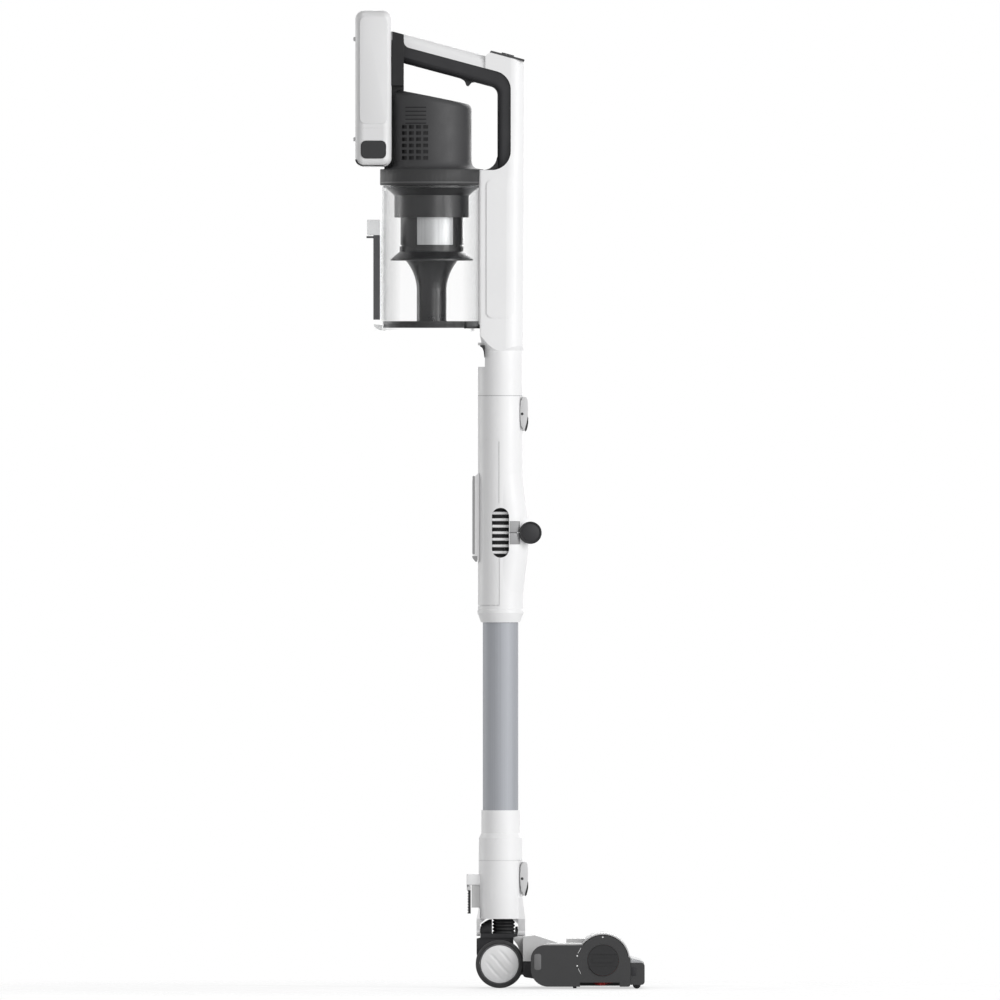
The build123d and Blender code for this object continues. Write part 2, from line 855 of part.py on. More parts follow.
def make_lid_slider():
    rear_x = cup_axis_x - cup_r - slider_gap
    bar = box(rear_x - slider_t, rear_x, -slider_half, slider_half,
              seam_z + slider_bottom, seam_z + slider_top)
    return bar - slider_rail(slide_gap, slider_bottom - 1, slider_top + 1)


def make_slider_tab():
    rear_x = cup_axis_x - cup_r - slider_gap
    return box(rear_x - slider_tab_reach, rear_x, -slider_half, slider_half,
               seam_z + slider_top, seam_z + slider_top + slider_tab_height)


def make_lid():
    top = cup_bottom - run_gap
    disc = cup_hollow(cup_r - run_gap, top - lid_t, top) & box(-tall, sill_x, -cup_r, cup_r, 0, tall)
    hinge_z = seam_z + lid_hinge_up
    disc += box(sill_x - 1, lid_hinge_x, -lid_knuckle_half, lid_knuckle_half,
                seam_z + top - lid_t, hinge_z + 1)
    disc += pin(lid_hinge_x, hinge_z, lid_knuckle_r, -lid_knuckle_half, lid_knuckle_half)
    rear_x = cup_axis_x - cup_r
    disc += box(rear_x - slider_t, rear_x + 6, -lid_catch_half, lid_catch_half,
                seam_z + top - lid_t, seam_z + top - lid_t / 2)
    return disc - pin(lid_hinge_x, hinge_z, lid_pin_r + pin_fit, -cup_r, cup_r)


def make_lid_gasket():
    low = cup_bottom - run_gap
    outer_r = cup_r - cup_wall - 3 * run_gap
    ring = cup_hollow(outer_r, low, low + gasket_t)
    ring -= cup_hollow(outer_r - gasket_width, low - 1, low + gasket_t + 1)
    return ring & box(-tall, sill_x - run_gap, -cup_r, cup_r, 0, tall)


def make_lid_pin():
    half = lid_knuckle_half + run_gap + lid_ear_t
    return pin(lid_hinge_x, seam_z + lid_hinge_up, lid_pin_r, -half, half)


def cyclone_levels():
    """Heights of the cyclone's steps from its flange down to its tail."""
    flange = seam_z + cup_top - cyclone_flange_t
    ring_top = flange - funnel_height
    mesh_top = ring_top - ring_height
    mesh_bottom = mesh_top - mesh_height
    flare_top = mesh_bottom - lower_ring_height
    cone_top = flare_top - shroud_drop
    return flange, ring_top, mesh_top, mesh_bottom, flare_top, cone_top


def make_cyclone():
    flange, ring_top, mesh_top, mesh_bottom, flare_top, cone_top = cyclone_levels()
    top = seam_z + cup_top
    core_r = mesh_r - mesh_t - seat_gap
    tail_z = cone_top - cone_drop
    tail_end_z = seam_z + cup_bottom + tail_gap
    flange_r = cup_r - cup_wall - seat_gap
    inner_r = core_r - core_wall
    bend_r = cone_tail_r + (cone_top_r - cone_tail_r) * cone_bend
    bend_z = cone_top - cone_drop / 2
    outside = Polyline(
        (ring_r - core_wall, top), (flange_r, top), (flange_r, flange),
        (flange_r - cup_ledge - seat_gap, flange), (ring_r, ring_top), (ring_r, mesh_top), (core_r, mesh_top),
        (core_r, mesh_bottom), (mesh_r + mesh_t, mesh_bottom), (mesh_r + mesh_t, flare_top),
        (shroud_r, cone_top + core_wall), (shroud_r, cone_top), (cone_top_r, cone_top))
    outer_cone = ThreePointArc((cone_top_r, cone_top), (bend_r, bend_z), (cone_tail_r, tail_z))
    tail = Polyline((cone_tail_r, tail_z), (cone_tail_r, tail_end_z), (cone_tail_r - core_wall, tail_end_z),
                    (cone_tail_r - core_wall, tail_z))
    inner_cone = ThreePointArc((cone_tail_r - core_wall, tail_z), (bend_r - core_wall, bend_z),
                               (cone_top_r - core_wall, cone_top))
    inside = Polyline((cone_top_r - core_wall, cone_top), (inner_r, flare_top), (inner_r, mesh_top),
                      (ring_r - core_wall, ring_top), (ring_r - core_wall, top))
    face = Plane.XZ * make_face(Curve() + [outside, outer_cone, tail, inner_cone, inside])
    body = Pos(cup_axis_x, 0, 0) * revolve(face, Axis.Z)
    middle = Pos(cup_axis_x, 0, (mesh_top + mesh_bottom) / 2)
    slot = Pos(core_r, 0, 0) * Box(core_wall * 6, core_slot_width, mesh_height - core_wall * 3)
    slots = [middle * Rot(0, 0, 360 * index / core_slots) * slot for index in range(core_slots)]
    return body - slots


def make_mesh_screen():
    mesh_top, mesh_bottom = cyclone_levels()[2:4]
    tube = post(cup_axis_x, 0, mesh_r, mesh_bottom, mesh_top)
    tube -= post(cup_axis_x, 0, mesh_r - mesh_t, mesh_bottom - 1, mesh_top + 1)
    holes = []
    for row in range(mesh_rows):
        z = mesh_bottom + mesh_height * (row + 0.5) / mesh_rows
        for column in range(mesh_columns):
            turn = Rot(0, 0, 360 * (column + row % 2 / 2) / mesh_columns)
            holes.append(Pos(cup_axis_x, 0, z) * turn * Pos(mesh_r, 0, 0) * Rot(0, 90, 0) * Cylinder(
                mesh_hole_r, mesh_t * 6))
    return tube - holes


# Wand with its fold joint
def rocker_pocket(pivot_z):
    return box(rocker_pivot_x - rocker_back - slide_gap, tall, -rocker_half_width - run_gap,
               rocker_half_width + run_gap, pivot_z - rocker_half_height - 2 * run_gap,
               pivot_z + rocker_half_height + 2 * run_gap)


def rocker_cheeks(pivot_z):
    near = rocker_half_width + run_gap
    cheek = pin(rocker_pivot_x - 1, pivot_z, rocker_pin_r * 3, near, near + rocker_cheek)
    cheek += box(spigot_r, rocker_pivot_x, near, near + rocker_cheek,
                 pivot_z - rocker_pin_r * 3, pivot_z + rocker_pin_r * 3)
    return cheek + mirrored(cheek)


def make_rocker(pivot_z):
    x = rocker_pivot_x
    half = rocker_half_height
    plate = across([
        (x + rocker_reach * 0.5, pivot_z + half, 2.5), (x + rocker_reach - 0.4, pivot_z + half * 0.6, 6),
        (x + rocker_reach, pivot_z - half * 0.5, 6), (x + rocker_reach * 0.7, pivot_z - half, 2),
        (x - 0.6, pivot_z - half, 0.5),
        (x - rocker_back, pivot_z + 4, 0), (x - rocker_back, pivot_z + half, 0.5),
    ], rocker_half_width)
    return plate - pin(x, pivot_z, rocker_pin_r + pin_fit, -wand_r, wand_r)


def make_rocker_pin(pivot_z):
    half = rocker_half_width + run_gap + rocker_cheek
    return pin(rocker_pivot_x, pivot_z, rocker_pin_r, -half, half)


def fold_bulge(sign):
    """Swelling of the wand towards the fold hinge, above or below it."""
    near = fold_z + sign * run_gap
    middle = fold_z + sign * bulge_flat
    far = fold_z + sign * bulge_height
    lean = loft([
        Pos(bulge_shift, 0, middle) * Circle(wand_r), Pos(0, 0, far) * Circle(wand_r - bulge_sink),
    ], ruled=True)
    return lean + post(bulge_shift, 0, wand_r, min(near, middle), max(near, middle))


def hinge_barrel(radius, y_low, y_high):
    return pin(hinge_x, fold_z, radius, y_low, y_high)


def cover_band(gap):
    """Room at the rear of the wand that the fold cover takes, with a gap round it."""
    band = post(0, 0, wand_r * 2, fold_z - cover_below - gap, fold_z + cover_above + gap)
    band -= post(0, 0, wand_r - cover_wall - gap, 0, tall)
    return band & box(-tall, cover_edge_x + gap, -tall, tall, 0, tall)


def fold_window():
    slot = Plane.XZ * Rot(0, 0, 90) * SlotOverall(window_height, window_width)
    return Pos(0, 0, fold_z) * extrude(slot, amount=wand_r * 2, both=True)


def hose_chamber():
    half = fold_hose_ribs * fold_hose_pitch / 2 + seat_gap
    return post(0, 0, fold_hose_r + 2 * run_gap, fold_z - half, fold_z + half)


def bracket_zone(sign, gap):
    shell = post(bulge_shift, 0, wand_r + gap, 0, tall)
    shell -= post(bulge_shift, 0, wand_r - bracket_t - gap, 0, tall)
    low, high = sorted((fold_z + sign * run_gap, fold_z + sign * (bracket_height + gap)))
    return shell & box(bracket_x - bracket_width / 2 - gap, bracket_x + bracket_width / 2 + gap,
                       -tall, tall, low, high)


def make_upper_housing():
    body = post(0, 0, wand_r, fold_z + run_gap, seam_z - run_gap) + fold_bulge(1)
    for side in (-1, 1):
        low, high = sorted((side * (knuckle_half + run_gap), side * hinge_half))
        body += hinge_barrel(hinge_r, low, high)
    body -= hinge_barrel(hinge_r + slide_gap, -knuckle_half - run_gap, knuckle_half + run_gap)
    body -= hinge_barrel(hinge_pin_r + pin_fit / 2, -hinge_half - 1, hinge_half + 1)
    pivot_z = seam_z - rocker_drop
    body += rocker_cheeks(pivot_z)
    body -= rocker_pocket(pivot_z)
    body -= pin(rocker_pivot_x, pivot_z, rocker_pin_r + pin_fit / 2, -wand_r, wand_r)
    body -= post(0, 0, socket_r, seam_z - spigot_length - 2, seam_z)
    body -= post(0, 0, duct_r, fold_z, seam_z)
    return body - hose_chamber() - cover_band(seat_gap) - fold_window() - bracket_zone(1, seat_gap)


def make_fold_cover():
    shell = post(0, 0, wand_r, fold_z - cover_below, fold_z + cover_above)
    shell -= post(0, 0, wand_r - cover_wall, 0, tall)
    return (shell & box(-tall, cover_edge_x, -tall, tall, 0, tall)) - fold_window()


def make_fold_latch():
    z_low = fold_z - latch_below
    z_high = fold_z + latch_above
    plate = across([
        (-wand_r - latch_rise, z_low + 8, 4), (-wand_r - latch_rise, z_high - 7, 8), (-wand_r, z_high, 0),
        (0, z_high, 0), (0, z_low, 0), (-wand_r, z_low, 0),
    ], latch_width / 2)
    return plate - post(0, 0, wand_r + run_gap, 0, tall)


def make_lower_housing():
    bottom = tube_top_z + collar_height
    body = post(0, 0, wand_r, bottom, fold_z - run_gap) + fold_bulge(-1)
    body += turned(0, [(0, tube_top_z), (sleeve_r + 0.4, tube_top_z), (wand_r + 0.6, bottom - 4),
                       (wand_r + 0.6, bottom - 1), (wand_r, bottom), (0, bottom)])
    body += hinge_barrel(hinge_r, -knuckle_half, knuckle_half)
    for side in (-1, 1):
        low, high = sorted((side * knuckle_half, side * hinge_half * 2))
        body -= hinge_barrel(hinge_cap_r + slide_gap, low, high)
    body -= hinge_barrel(hinge_pin_r + pin_fit, -hinge_half, hinge_half)
    body -= post(0, 0, tube_r + pin_fit / 2, 0, tube_top_z + tube_insert)
    body -= post(0, 0, duct_r, 0, fold_z)
    return body - hose_chamber() - cover_band(slide_gap) - fold_window() - bracket_zone(-1, seat_gap)


def make_hinge_bracket(sign):
    return bracket_zone(sign, 0) - hinge_barrel(hinge_cap_r + 2 * slide_gap, -tall / 2, tall / 2)


def make_hinge_pin():
    rod_part = hinge_barrel(hinge_pin_r, -hinge_half - 1, hinge_half + 1)
    cap = hinge_barrel(hinge_cap_r, hinge_half + seat_gap, hinge_half + hinge_cap_t)
    return rod_part + cap + mirrored(cap)


def make_wand_tube():
    low = tube_bottom_z - tube_insert
    high = tube_top_z + tube_insert - seat_gap
    return post(0, 0, tube_r, low, high) - post(0, 0, tube_r - tube_wall, low - 1, high + 1)


def make_coupling():
    skirt_top = neck_seam_z + skirt_height
    body = turned(0, [
        (0, neck_seam_z), (skirt_r + 0.4, neck_seam_z), (skirt_r, skirt_top),
        (sleeve_r, skirt_top + skirt_cone_height), (sleeve_r, tube_bottom_z), (0, tube_bottom_z)])
    body -= spigot_tube(neck_seam_z, pin_fit / 2, seat_gap)
    body -= post(0, 0, tube_r + pin_fit / 2, tube_bottom_z - tube_insert - seat_gap, tube_bottom_z + 1)
    return body - post(0, 0, duct_r, neck_seam_z - spigot_length - 1, tube_bottom_z)


# Neck, yoke and rear wheels
def leg(corners, x_low, x_high):
    """Leg of the side swivel: a side outline that narrows to a round foot about the swivel's axis."""
    wide = leg_half * leg_flare
    front = Plane.YZ * make_face(Polyline(
        (-leg_half, swivel_z), (leg_half, swivel_z), (wide, neck_bottom_z), (wide, neck_seam_z),
        (-wide, neck_seam_z), (-wide, neck_bottom_z), close=True))
    taper = Pos(x_low, 0, 0) * extrude(front, amount=x_high - x_low)
    return (across(corners, wide) & taper) + rod(0, swivel_z, leg_half, x_low, x_high)


def swivel_pin_rods(radius):
    rear = rod(0, swivel_z, radius, rear_leg_x, rear_leg_x + rear_leg_t + run_gap + lug_t)
    return rear, rod(0, swivel_z, radius, front_leg_x - run_gap - lug_t, front_leg_x + front_leg_t)


def make_neck():
    pivot_z = neck_seam_z - rocker_drop
    body = post(0, 0, neck_r, neck_bottom_z, neck_seam_z - run_gap)
    rear_inner_x = rear_leg_x + rear_leg_t
    front_outer_x = front_leg_x + front_leg_t
    body += leg([
        (rear_leg_x, swivel_z, 0), (rear_leg_x, neck_bottom_z, 0), (-neck_r, rear_leg_top_z, 0),
        (rear_inner_x, rear_leg_top_z, 0), (rear_inner_x, swivel_z, 0),
    ], rear_leg_x, rear_inner_x)
    body += leg([
        (front_leg_x, swivel_z, 0), (front_outer_x, swivel_z, 0), (front_outer_x, neck_bottom_z, 0),
        (neck_r, front_leg_top_z, 0), (front_leg_x, front_leg_top_z, 0),
    ], front_leg_x, front_outer_x)
    gusset_low = neck_bottom_z - gusset_drop
    for inner_x, reach in ((rear_inner_x, gusset_length), (front_leg_x, -gusset_length)):
        body += across([
            (inner_x, gusset_low, 0), (inner_x + reach, neck_bottom_z, 0), (inner_x, neck_bottom_z + 1, 0),
        ], gusset_half)
    body += rocker_cheeks(pivot_z)
    body -= rocker_pocket(pivot_z)
    body -= pin(rocker_pivot_x, pivot_z, rocker_pin_r + pin_fit / 2, -wand_r, wand_r)
    body -= post(0, 0, socket_r, neck_socket_floor_z, neck_seam_z)
    body -= post(neck_hose_x, 0, neck_hose_r + 2 * run_gap, 0, neck_socket_floor_z + 1)
    for hole in swivel_pin_rods(swivel_pin_r + pin_fit / 2):
        body -= hole
    return body


def clip_room(x_low, x_high, half, z_low, z_high):
    return box(x_low, x_high, -half, half, z_low, z_high) - post(0, 0, neck_r + seat_gap, 0, tall)


def make_clip_bracket():
    hook = clip_room(clip_rear_x, -neck_r + 3, clip_half, clip_top_z - clip_hook_height, clip_top_z)
    near = clip_half - clip_cheek
    cheek = box(clip_rear_x, clip_rear_x + clip_lever_t + 1, near, clip_half,
                clip_pivot_z - clip_lever_t, clip_top_z - clip_hook_height)
    hook += cheek + mirrored(cheek)
    return hook - pin(clip_rear_x + clip_lever_t / 2 + 1, clip_pivot_z, clip_pin_r + pin_fit / 2, -tall, tall)


def make_clip_block():
    rear_x = clip_rear_x + clip_lever_t + 2
    return clip_room(rear_x, -neck_r + 3, clip_half - 1, clip_bottom_z + 7, clip_top_z - clip_hook_height)


def make_clip_lever():
    x = clip_rear_x + 1
    half = clip_half - clip_cheek - run_gap
    top_r = clip_lever_t / 2
    bar = box(x, x + clip_lever_t, -half, half, clip_bottom_z, clip_pivot_z)
    bar += pin(x + top_r, clip_pivot_z, top_r, -half, half)
    grooves = [
        box(x - 1, x + clip_rib_depth, -half - 1, half + 1, z, z + clip_rib_pitch / 2)
        for z in [clip_bottom_z + clip_rib_pitch * (rib + 0.5) for rib in range(clip_ribs)]]
    return bar - grooves - pin(x + top_r, clip_pivot_z, clip_pin_r + pin_fit, -tall, tall)


def make_clip_pin():
    return pin(clip_rear_x + clip_lever_t / 2 + 1, clip_pivot_z, clip_pin_r, -clip_half, clip_half)


def make_yoke():
    plate_rear_x = rear_leg_x + rear_leg_t + run_gap
    plate_front_x = front_leg_x - run_gap
    plate_top = yoke_plate_bottom_z + yoke_plate_t
    body = box(plate_rear_x, plate_front_x, -yoke_plate_half, yoke_plate_half, yoke_plate_bottom_z, plate_top)
    for x_low, thick in ((plate_rear_x, rear_lug_t), (plate_front_x - lug_t, lug_t)):
        body += rod(0, swivel_z, leg_half - 1, x_low, x_low + thick)
        body += box(x_low, x_low + thick, 1 - leg_half, leg_half - 1, yoke_plate_bottom_z, swivel_z)
    body += across([
        (plate_rear_x, yoke_plate_bottom_z, 0), (rear_leg_x, yoke_plate_bottom_z - 1, 0),
        (rear_leg_x, wheel_r + yoke_rear_rise, yoke_rear_rise),
        (wheel_x - barrel_r + 3, wheel_r, 0), (wheel_x + barrel_r - 1, wheel_r, 0),
        (wheel_x + barrel_r - 1, yoke_plate_bottom_z, 0),
    ], duct_block_half)
    body += pin(wheel_x, wheel_r, arm_r + 3, -cheek_half, cheek_half)
    body += pin(wheel_x, wheel_r, barrel_r, -duct_block_half, duct_block_half)
    body -= post(neck_hose_x, 0, neck_hose_r + 2 * run_gap, hose_bottom_z(), tall)
    body -= post(neck_hose_x, 0, elbow_r, wheel_r, tall)
    for turn in barrel_turns:
        mouth = Rot(0, turn, 0) * rod(0, 0, elbow_r, 0, barrel_r * 2)
        body -= Pos(wheel_x, 0, wheel_r) * mouth
    body -= Pos(wheel_x, 0, wheel_r) * Sphere(elbow_r)
    body -= inlet_pipe(run_gap, wheel_x) - pin(wheel_x, wheel_r, barrel_r, -cheek_half, cheek_half)
    for side in (-1, 1):
        low, high = sorted((side * (cheek_half - cheek_t), side * (cheek_half + 1)))
        body -= pin(wheel_x, wheel_r, axle_r + pin_fit, low, high)
    for hole in swivel_pin_rods(swivel_pin_r + pin_fit):
        body -= hole
    return body


def inlet_pipe(grow, x_low):
    """Pipe of the floor head that meets the yoke's barrel."""
    return rod(0, wheel_r, elbow_r + pipe_wall + grow, x_low, base_rear_x)


def hose_bottom_z():
    return neck_socket_floor_z - neck_hose_ribs * neck_hose_pitch


def make_axle_stubs():
    outer_y = wheel_inner_y + wheel_width - hub_face_t - run_gap
    stub = pin(wheel_x, wheel_r, axle_r, cheek_half - cheek_t + run_gap, outer_y)
    return Compound(children=[stub, mirrored(stub)])


def make_hub(side):
    outer = wheel_inner_y + wheel_width
    low, high = sorted((side * wheel_inner_y, side * outer))
    hub = pin(wheel_x, wheel_r, hub_r, low, high)
    low, high = sorted((side * (wheel_inner_y - 1), side * (outer - hub_face_t)))
    return hub - pin(wheel_x, wheel_r, axle_r + pin_fit, low, high)


def make_tyre(side):
    low, high = sorted((side * (wheel_inner_y + 1), side * (wheel_inner_y + wheel_width - 1)))
    band = pin(wheel_x, wheel_r, wheel_r, low, high)
    band = fillet(band.edges().filter_by(GeomType.CIRCLE), tyre_round)
    return band - pin(wheel_x, wheel_r, hub_r + pin_fit / 2, low - 1, high + 1)


# Floor head
def wheel_arches():
    arch = pin(wheel_x, wheel_r, wheel_r + 1, wheel_inner_y - 1, wheel_inner_y + wheel_width + 1)
    return arch + mirrored(arch)


def belt_hull(margin, y_low, y_high):
    """Outline round both pulleys with a margin, filled from y_low to y_high."""
    motor_end = Pos(brush_motor_x, brush_z) * Circle(motor_pulley_r + margin)
    brush_end = Pos(brush_x, brush_z) * Circle(brush_pulley_r + margin)
    face = Plane.XZ * make_hull(motor_end.edges() + brush_end.edges())
    return Pos(0, y_high, 0) * extrude(face, amount=y_high - y_low)


def head_bays():
    """Rooms inside the head: brush chamber, motor bay, belt room, air duct and an empty side bay."""
    rooms = pin(brush_x, brush_z, chamber_r, -head_half, chamber_end_y)
    rooms += pin(brush_x, brush_z, brush_shaft_r + 2, chamber_end_y - 1, belt_low_y)
    rooms += pin(brush_motor_x, brush_z, brush_motor_r + seat_gap, motor_low_y - seat_gap,
                 motor_high_y + seat_gap)
    rooms += pin(brush_motor_x, brush_z, motor_shaft_r + 2, motor_high_y, belt_low_y)
    rooms += belt_hull(belt_t + 4, belt_low_y - 1, head_half)
    rooms += box(base_rear_x - 5, brush_x - chamber_r + 4, -duct_half, duct_half, duct_low_z, duct_high_z)
    rooms += rod(0, wheel_r, elbow_r, wheel_x, base_rear_x)
    return rooms + box(base_rear_x + 8, brush_x - chamber_r - 3, -inner_half + 6, -duct_half - 4,
                       base_bottom_z + 4, deck_z - 3)


def make_head_base(bays):
    body = across([
        (base_rear_x, base_bottom_z, 6), (base_front_x, base_bottom_z, 2),
        (base_front_x, split_z, 0), (base_rear_x, split_z, 0),
    ], inner_half)
    body += across([
        (fairing_rear_x, base_bottom_z + 5, 4), (base_rear_x + 8, base_bottom_z + 1, 0),
        (base_rear_x + 8, fairing_bottom_z, 0), (fairing_rear_x, fairing_bottom_z, 0),
    ], fairing_half - 2)
    arm_low = cheek_half + slide_gap
    arm = pin(wheel_x, wheel_r, arm_r, arm_low, arm_low + arm_t)
    arm += box(wheel_x, fairing_rear_x + 2, arm_low, arm_low + arm_t, wheel_r - arm_r, fairing_bottom_z)
    body -= wheel_arches()
    body += arm + mirrored(arm)
    body += inlet_pipe(0, wheel_x + barrel_r / 2)
    body += make_glide_strip()
    body -= pin(wheel_x, wheel_r, barrel_r + run_gap, -duct_block_half - 1, duct_block_half + 1)
    return body - bays - pin(wheel_x, wheel_r, axle_r + pin_fit / 2, -head_half, head_half)


def cover_form():
    form = across([
        (base_rear_x + cover_inset, split_z, 0), (base_rear_x + cover_inset, deck_z, deck_round),
        (brush_x, deck_z, 0), (brush_x, split_z, 0),
    ], inner_half)
    dome = pin(brush_x, brush_z, chamber_r + cover_shell, -inner_half, inner_half)
    return form + (dome & box(0, tall, -head_half, head_half, split_z, tall))


def make_top_cover(bays):
    return cover_form() - bays + make_indicator()


def make_fairing(bays):
    form = across([
        (fairing_rear_x, fairing_bottom_z + seat_gap, 0), (fairing_rear_x, fairing_rear_top_z, 2),
        (fairing_rear_x + 14, fairing_top_z, 8), (base_rear_x + 22, deck_z + 0.5, 0),
        (base_rear_x + 22, fairing_bottom_z + seat_gap, 0),
    ], fairing_half)
    base_block = box(base_rear_x, base_front_x, -head_half, head_half, 0, split_z)
    return form - cover_form() - base_block - wheel_arches() - inlet_pipe(seat_gap, wheel_x) - bays


def side_form(y_low, y_high):
    plate = between([
        (side_rear_x, side_bottom_z, 20), (base_front_x, side_bottom_z, 3), (base_front_x, lens_top_z, 2),
        (brush_x, side_top_z, 0), (side_rear_x, side_top_z, 16),
    ], y_low, y_high)
    plate += pin(brush_x, brush_z, side_bump_r, y_low, y_high)
    return plate - box(side_notch_rear_x, side_notch_front_x, y_low - 1, y_high + 1, 0, side_notch_z)


def make_left_side_plate():
    plate = side_form(-head_half, side_plate_t - head_half)
    return plate - pin(brush_x, brush_z, end_cap_r + run_gap, -head_half - 1, head_half)


def make_right_side_plate():
    plate = side_form(head_half - side_plate_t, head_half)
    return plate - pin(brush_x, brush_z, brush_shaft_r + pin_fit, 0, head_half - side_plate_t / 2)


def make_bearing_block():
    block = pin(brush_x, brush_z, end_cap_r, bearing_outer_y, side_plate_t - head_half)
    return block - pin(brush_x, brush_z, brush_shaft_r + pin_fit, -head_half, head_half)


def make_end_cap():
    outer_y = -head_half - end_cap_proud
    cap = pin(brush_x, brush_z, end_cap_r, outer_y, bearing_outer_y - run_gap)
    grip = box(brush_x - end_cap_r * 0.7, brush_x + end_cap_r * 0.7, outer_y - 1, outer_y + 1,
               brush_z - grip_half, brush_z + grip_half)
    return cap - (box(brush_x - end_cap_r, brush_x + end_cap_r, outer_y - 1, outer_y + 1,
                      brush_z - grip_half * 3, brush_z + grip_half * 3) - grip)


def make_brush_roll():
    core = pin(brush_x, brush_z, brush_core_r, side_plate_t - head_half + 2, chamber_end_y - 0.5)
    pulley = pin(brush_x, brush_z, brush_pulley_r, belt_low_y + 0.5, belt_low_y + belt_width + 1.5)
    bore = pin(brush_x, brush_z, brush_shaft_r + pin_fit / 2, -head_half, head_half)
    shaft_end_y = head_half - side_plate_t / 2 - run_gap
    shaft = pin(brush_x, brush_z, brush_shaft_r, bearing_outer_y + run_gap, shaft_end_y)
    return Compound(children=[core - bore, pulley - bore, shaft])


def make_bristles():
    low = side_plate_t - head_half + 5
    high = chamber_end_y - 3
    sleeve = pin(brush_x, brush_z, brush_core_r + bristle_sleeve_t, low, high)
    sleeve -= pin(brush_x, brush_z, brush_core_r + pin_fit / 2, low - 1, high + 1)
    foot_r = brush_core_r + bristle_sleeve_t / 2
    strand = Pos(0, 0, (foot_r + bristle_tip_r) / 2) * Box(bristle_t, bristle_t, bristle_tip_r - foot_r)
    step = (high - low) / bristles_in_row
    strands = []
    for row in range(bristle_rows):
        for index in range(bristles_in_row):
            angle = 360 * row / bristle_rows + bristle_turn * index / bristles_in_row
            place = Pos(brush_x, low + (index + 0.5) * step, brush_z) * Rot(0, angle, 0)
            strands.append(place * strand)
    return sleeve.fuse(*strands)


def make_brush_motor():
    can = pin(brush_motor_x, brush_z, brush_motor_r, motor_low_y, motor_high_y)
    shaft_low_y = motor_high_y - motor_shaft_in
    return can - pin(brush_motor_x, brush_z, motor_shaft_r + pin_fit, shaft_low_y, motor_high_y + 1)


def make_motor_pulley():
    wheel = pin(brush_motor_x, brush_z, motor_pulley_r, belt_low_y + 0.5, belt_low_y + belt_width + 1.5)
    shaft_low_y = motor_high_y - motor_shaft_in + 1
    return wheel + pin(brush_motor_x, brush_z, motor_shaft_r, shaft_low_y, belt_low_y + 1)


def make_belt():
    low = belt_low_y + 1
    high = low + belt_width
    return belt_hull(run_gap + belt_t, low, high) - belt_hull(run_gap, low - 1, high + 1)


def roller_pin_at(side, radius, half):
    """Cylinder on the axis of one front roller, as long as the half length says."""
    return pin(roller_x, roller_r, radius, side * roller_y - half, side * roller_y + half)


def make_bumper():
    rear_x = base_front_x + seat_gap
    body = across([
        (rear_x, bumper_bottom_z, 0), (nose_x, bumper_bottom_z, nose_round),
        (nose_x, bumper_top_z, nose_round), (rear_x, bumper_top_z, 0),
    ], bumper_half)
    half = roller_width / 2
    for side in (-1, 1):
        foot_low_y = side * roller_y - half - roller_cheek
        body += box(roller_x - roller_foot_half, roller_x + roller_foot_half, foot_low_y,
                    foot_low_y + roller_width + 2 * roller_cheek, roller_foot_z, bumper_bottom_z + 1)
        body -= roller_pin_at(side, roller_r + 2 * slide_gap, half + slide_gap)
        body -= roller_pin_at(side, roller_pin_r + pin_fit, half + roller_cheek - slide_gap)
    return body


def make_roller(side):
    half = roller_width / 2
    return roller_pin_at(side, roller_r, half) + roller_pin_at(side, roller_pin_r, half + roller_cheek - 1)


def make_lens():
    rear_x = base_front_x + seat_gap
    return across([
        (rear_x, bumper_top_z + seat_gap, 0), (nose_x - 2, bumper_top_z + seat_gap, 0.6),
        (nose_x - 5, bumper_top_z + 2.6, 1), (rear_x, lens_top_z, 0),
    ], bumper_half - 6)


def make_glide_strip():
    half = inner_half - strip_foot_inset
    return box(strip_foot_x - strip_foot_t / 2, strip_foot_x + strip_foot_t / 2, -half, half,
               strip_foot_gap, base_bottom_z)


def make_indicator():
    block = box(indicator_x, indicator_x + indicator_length, -indicator_half, indicator_half,
                deck_z, deck_z + indicator_rise)
    return block - cover_form()


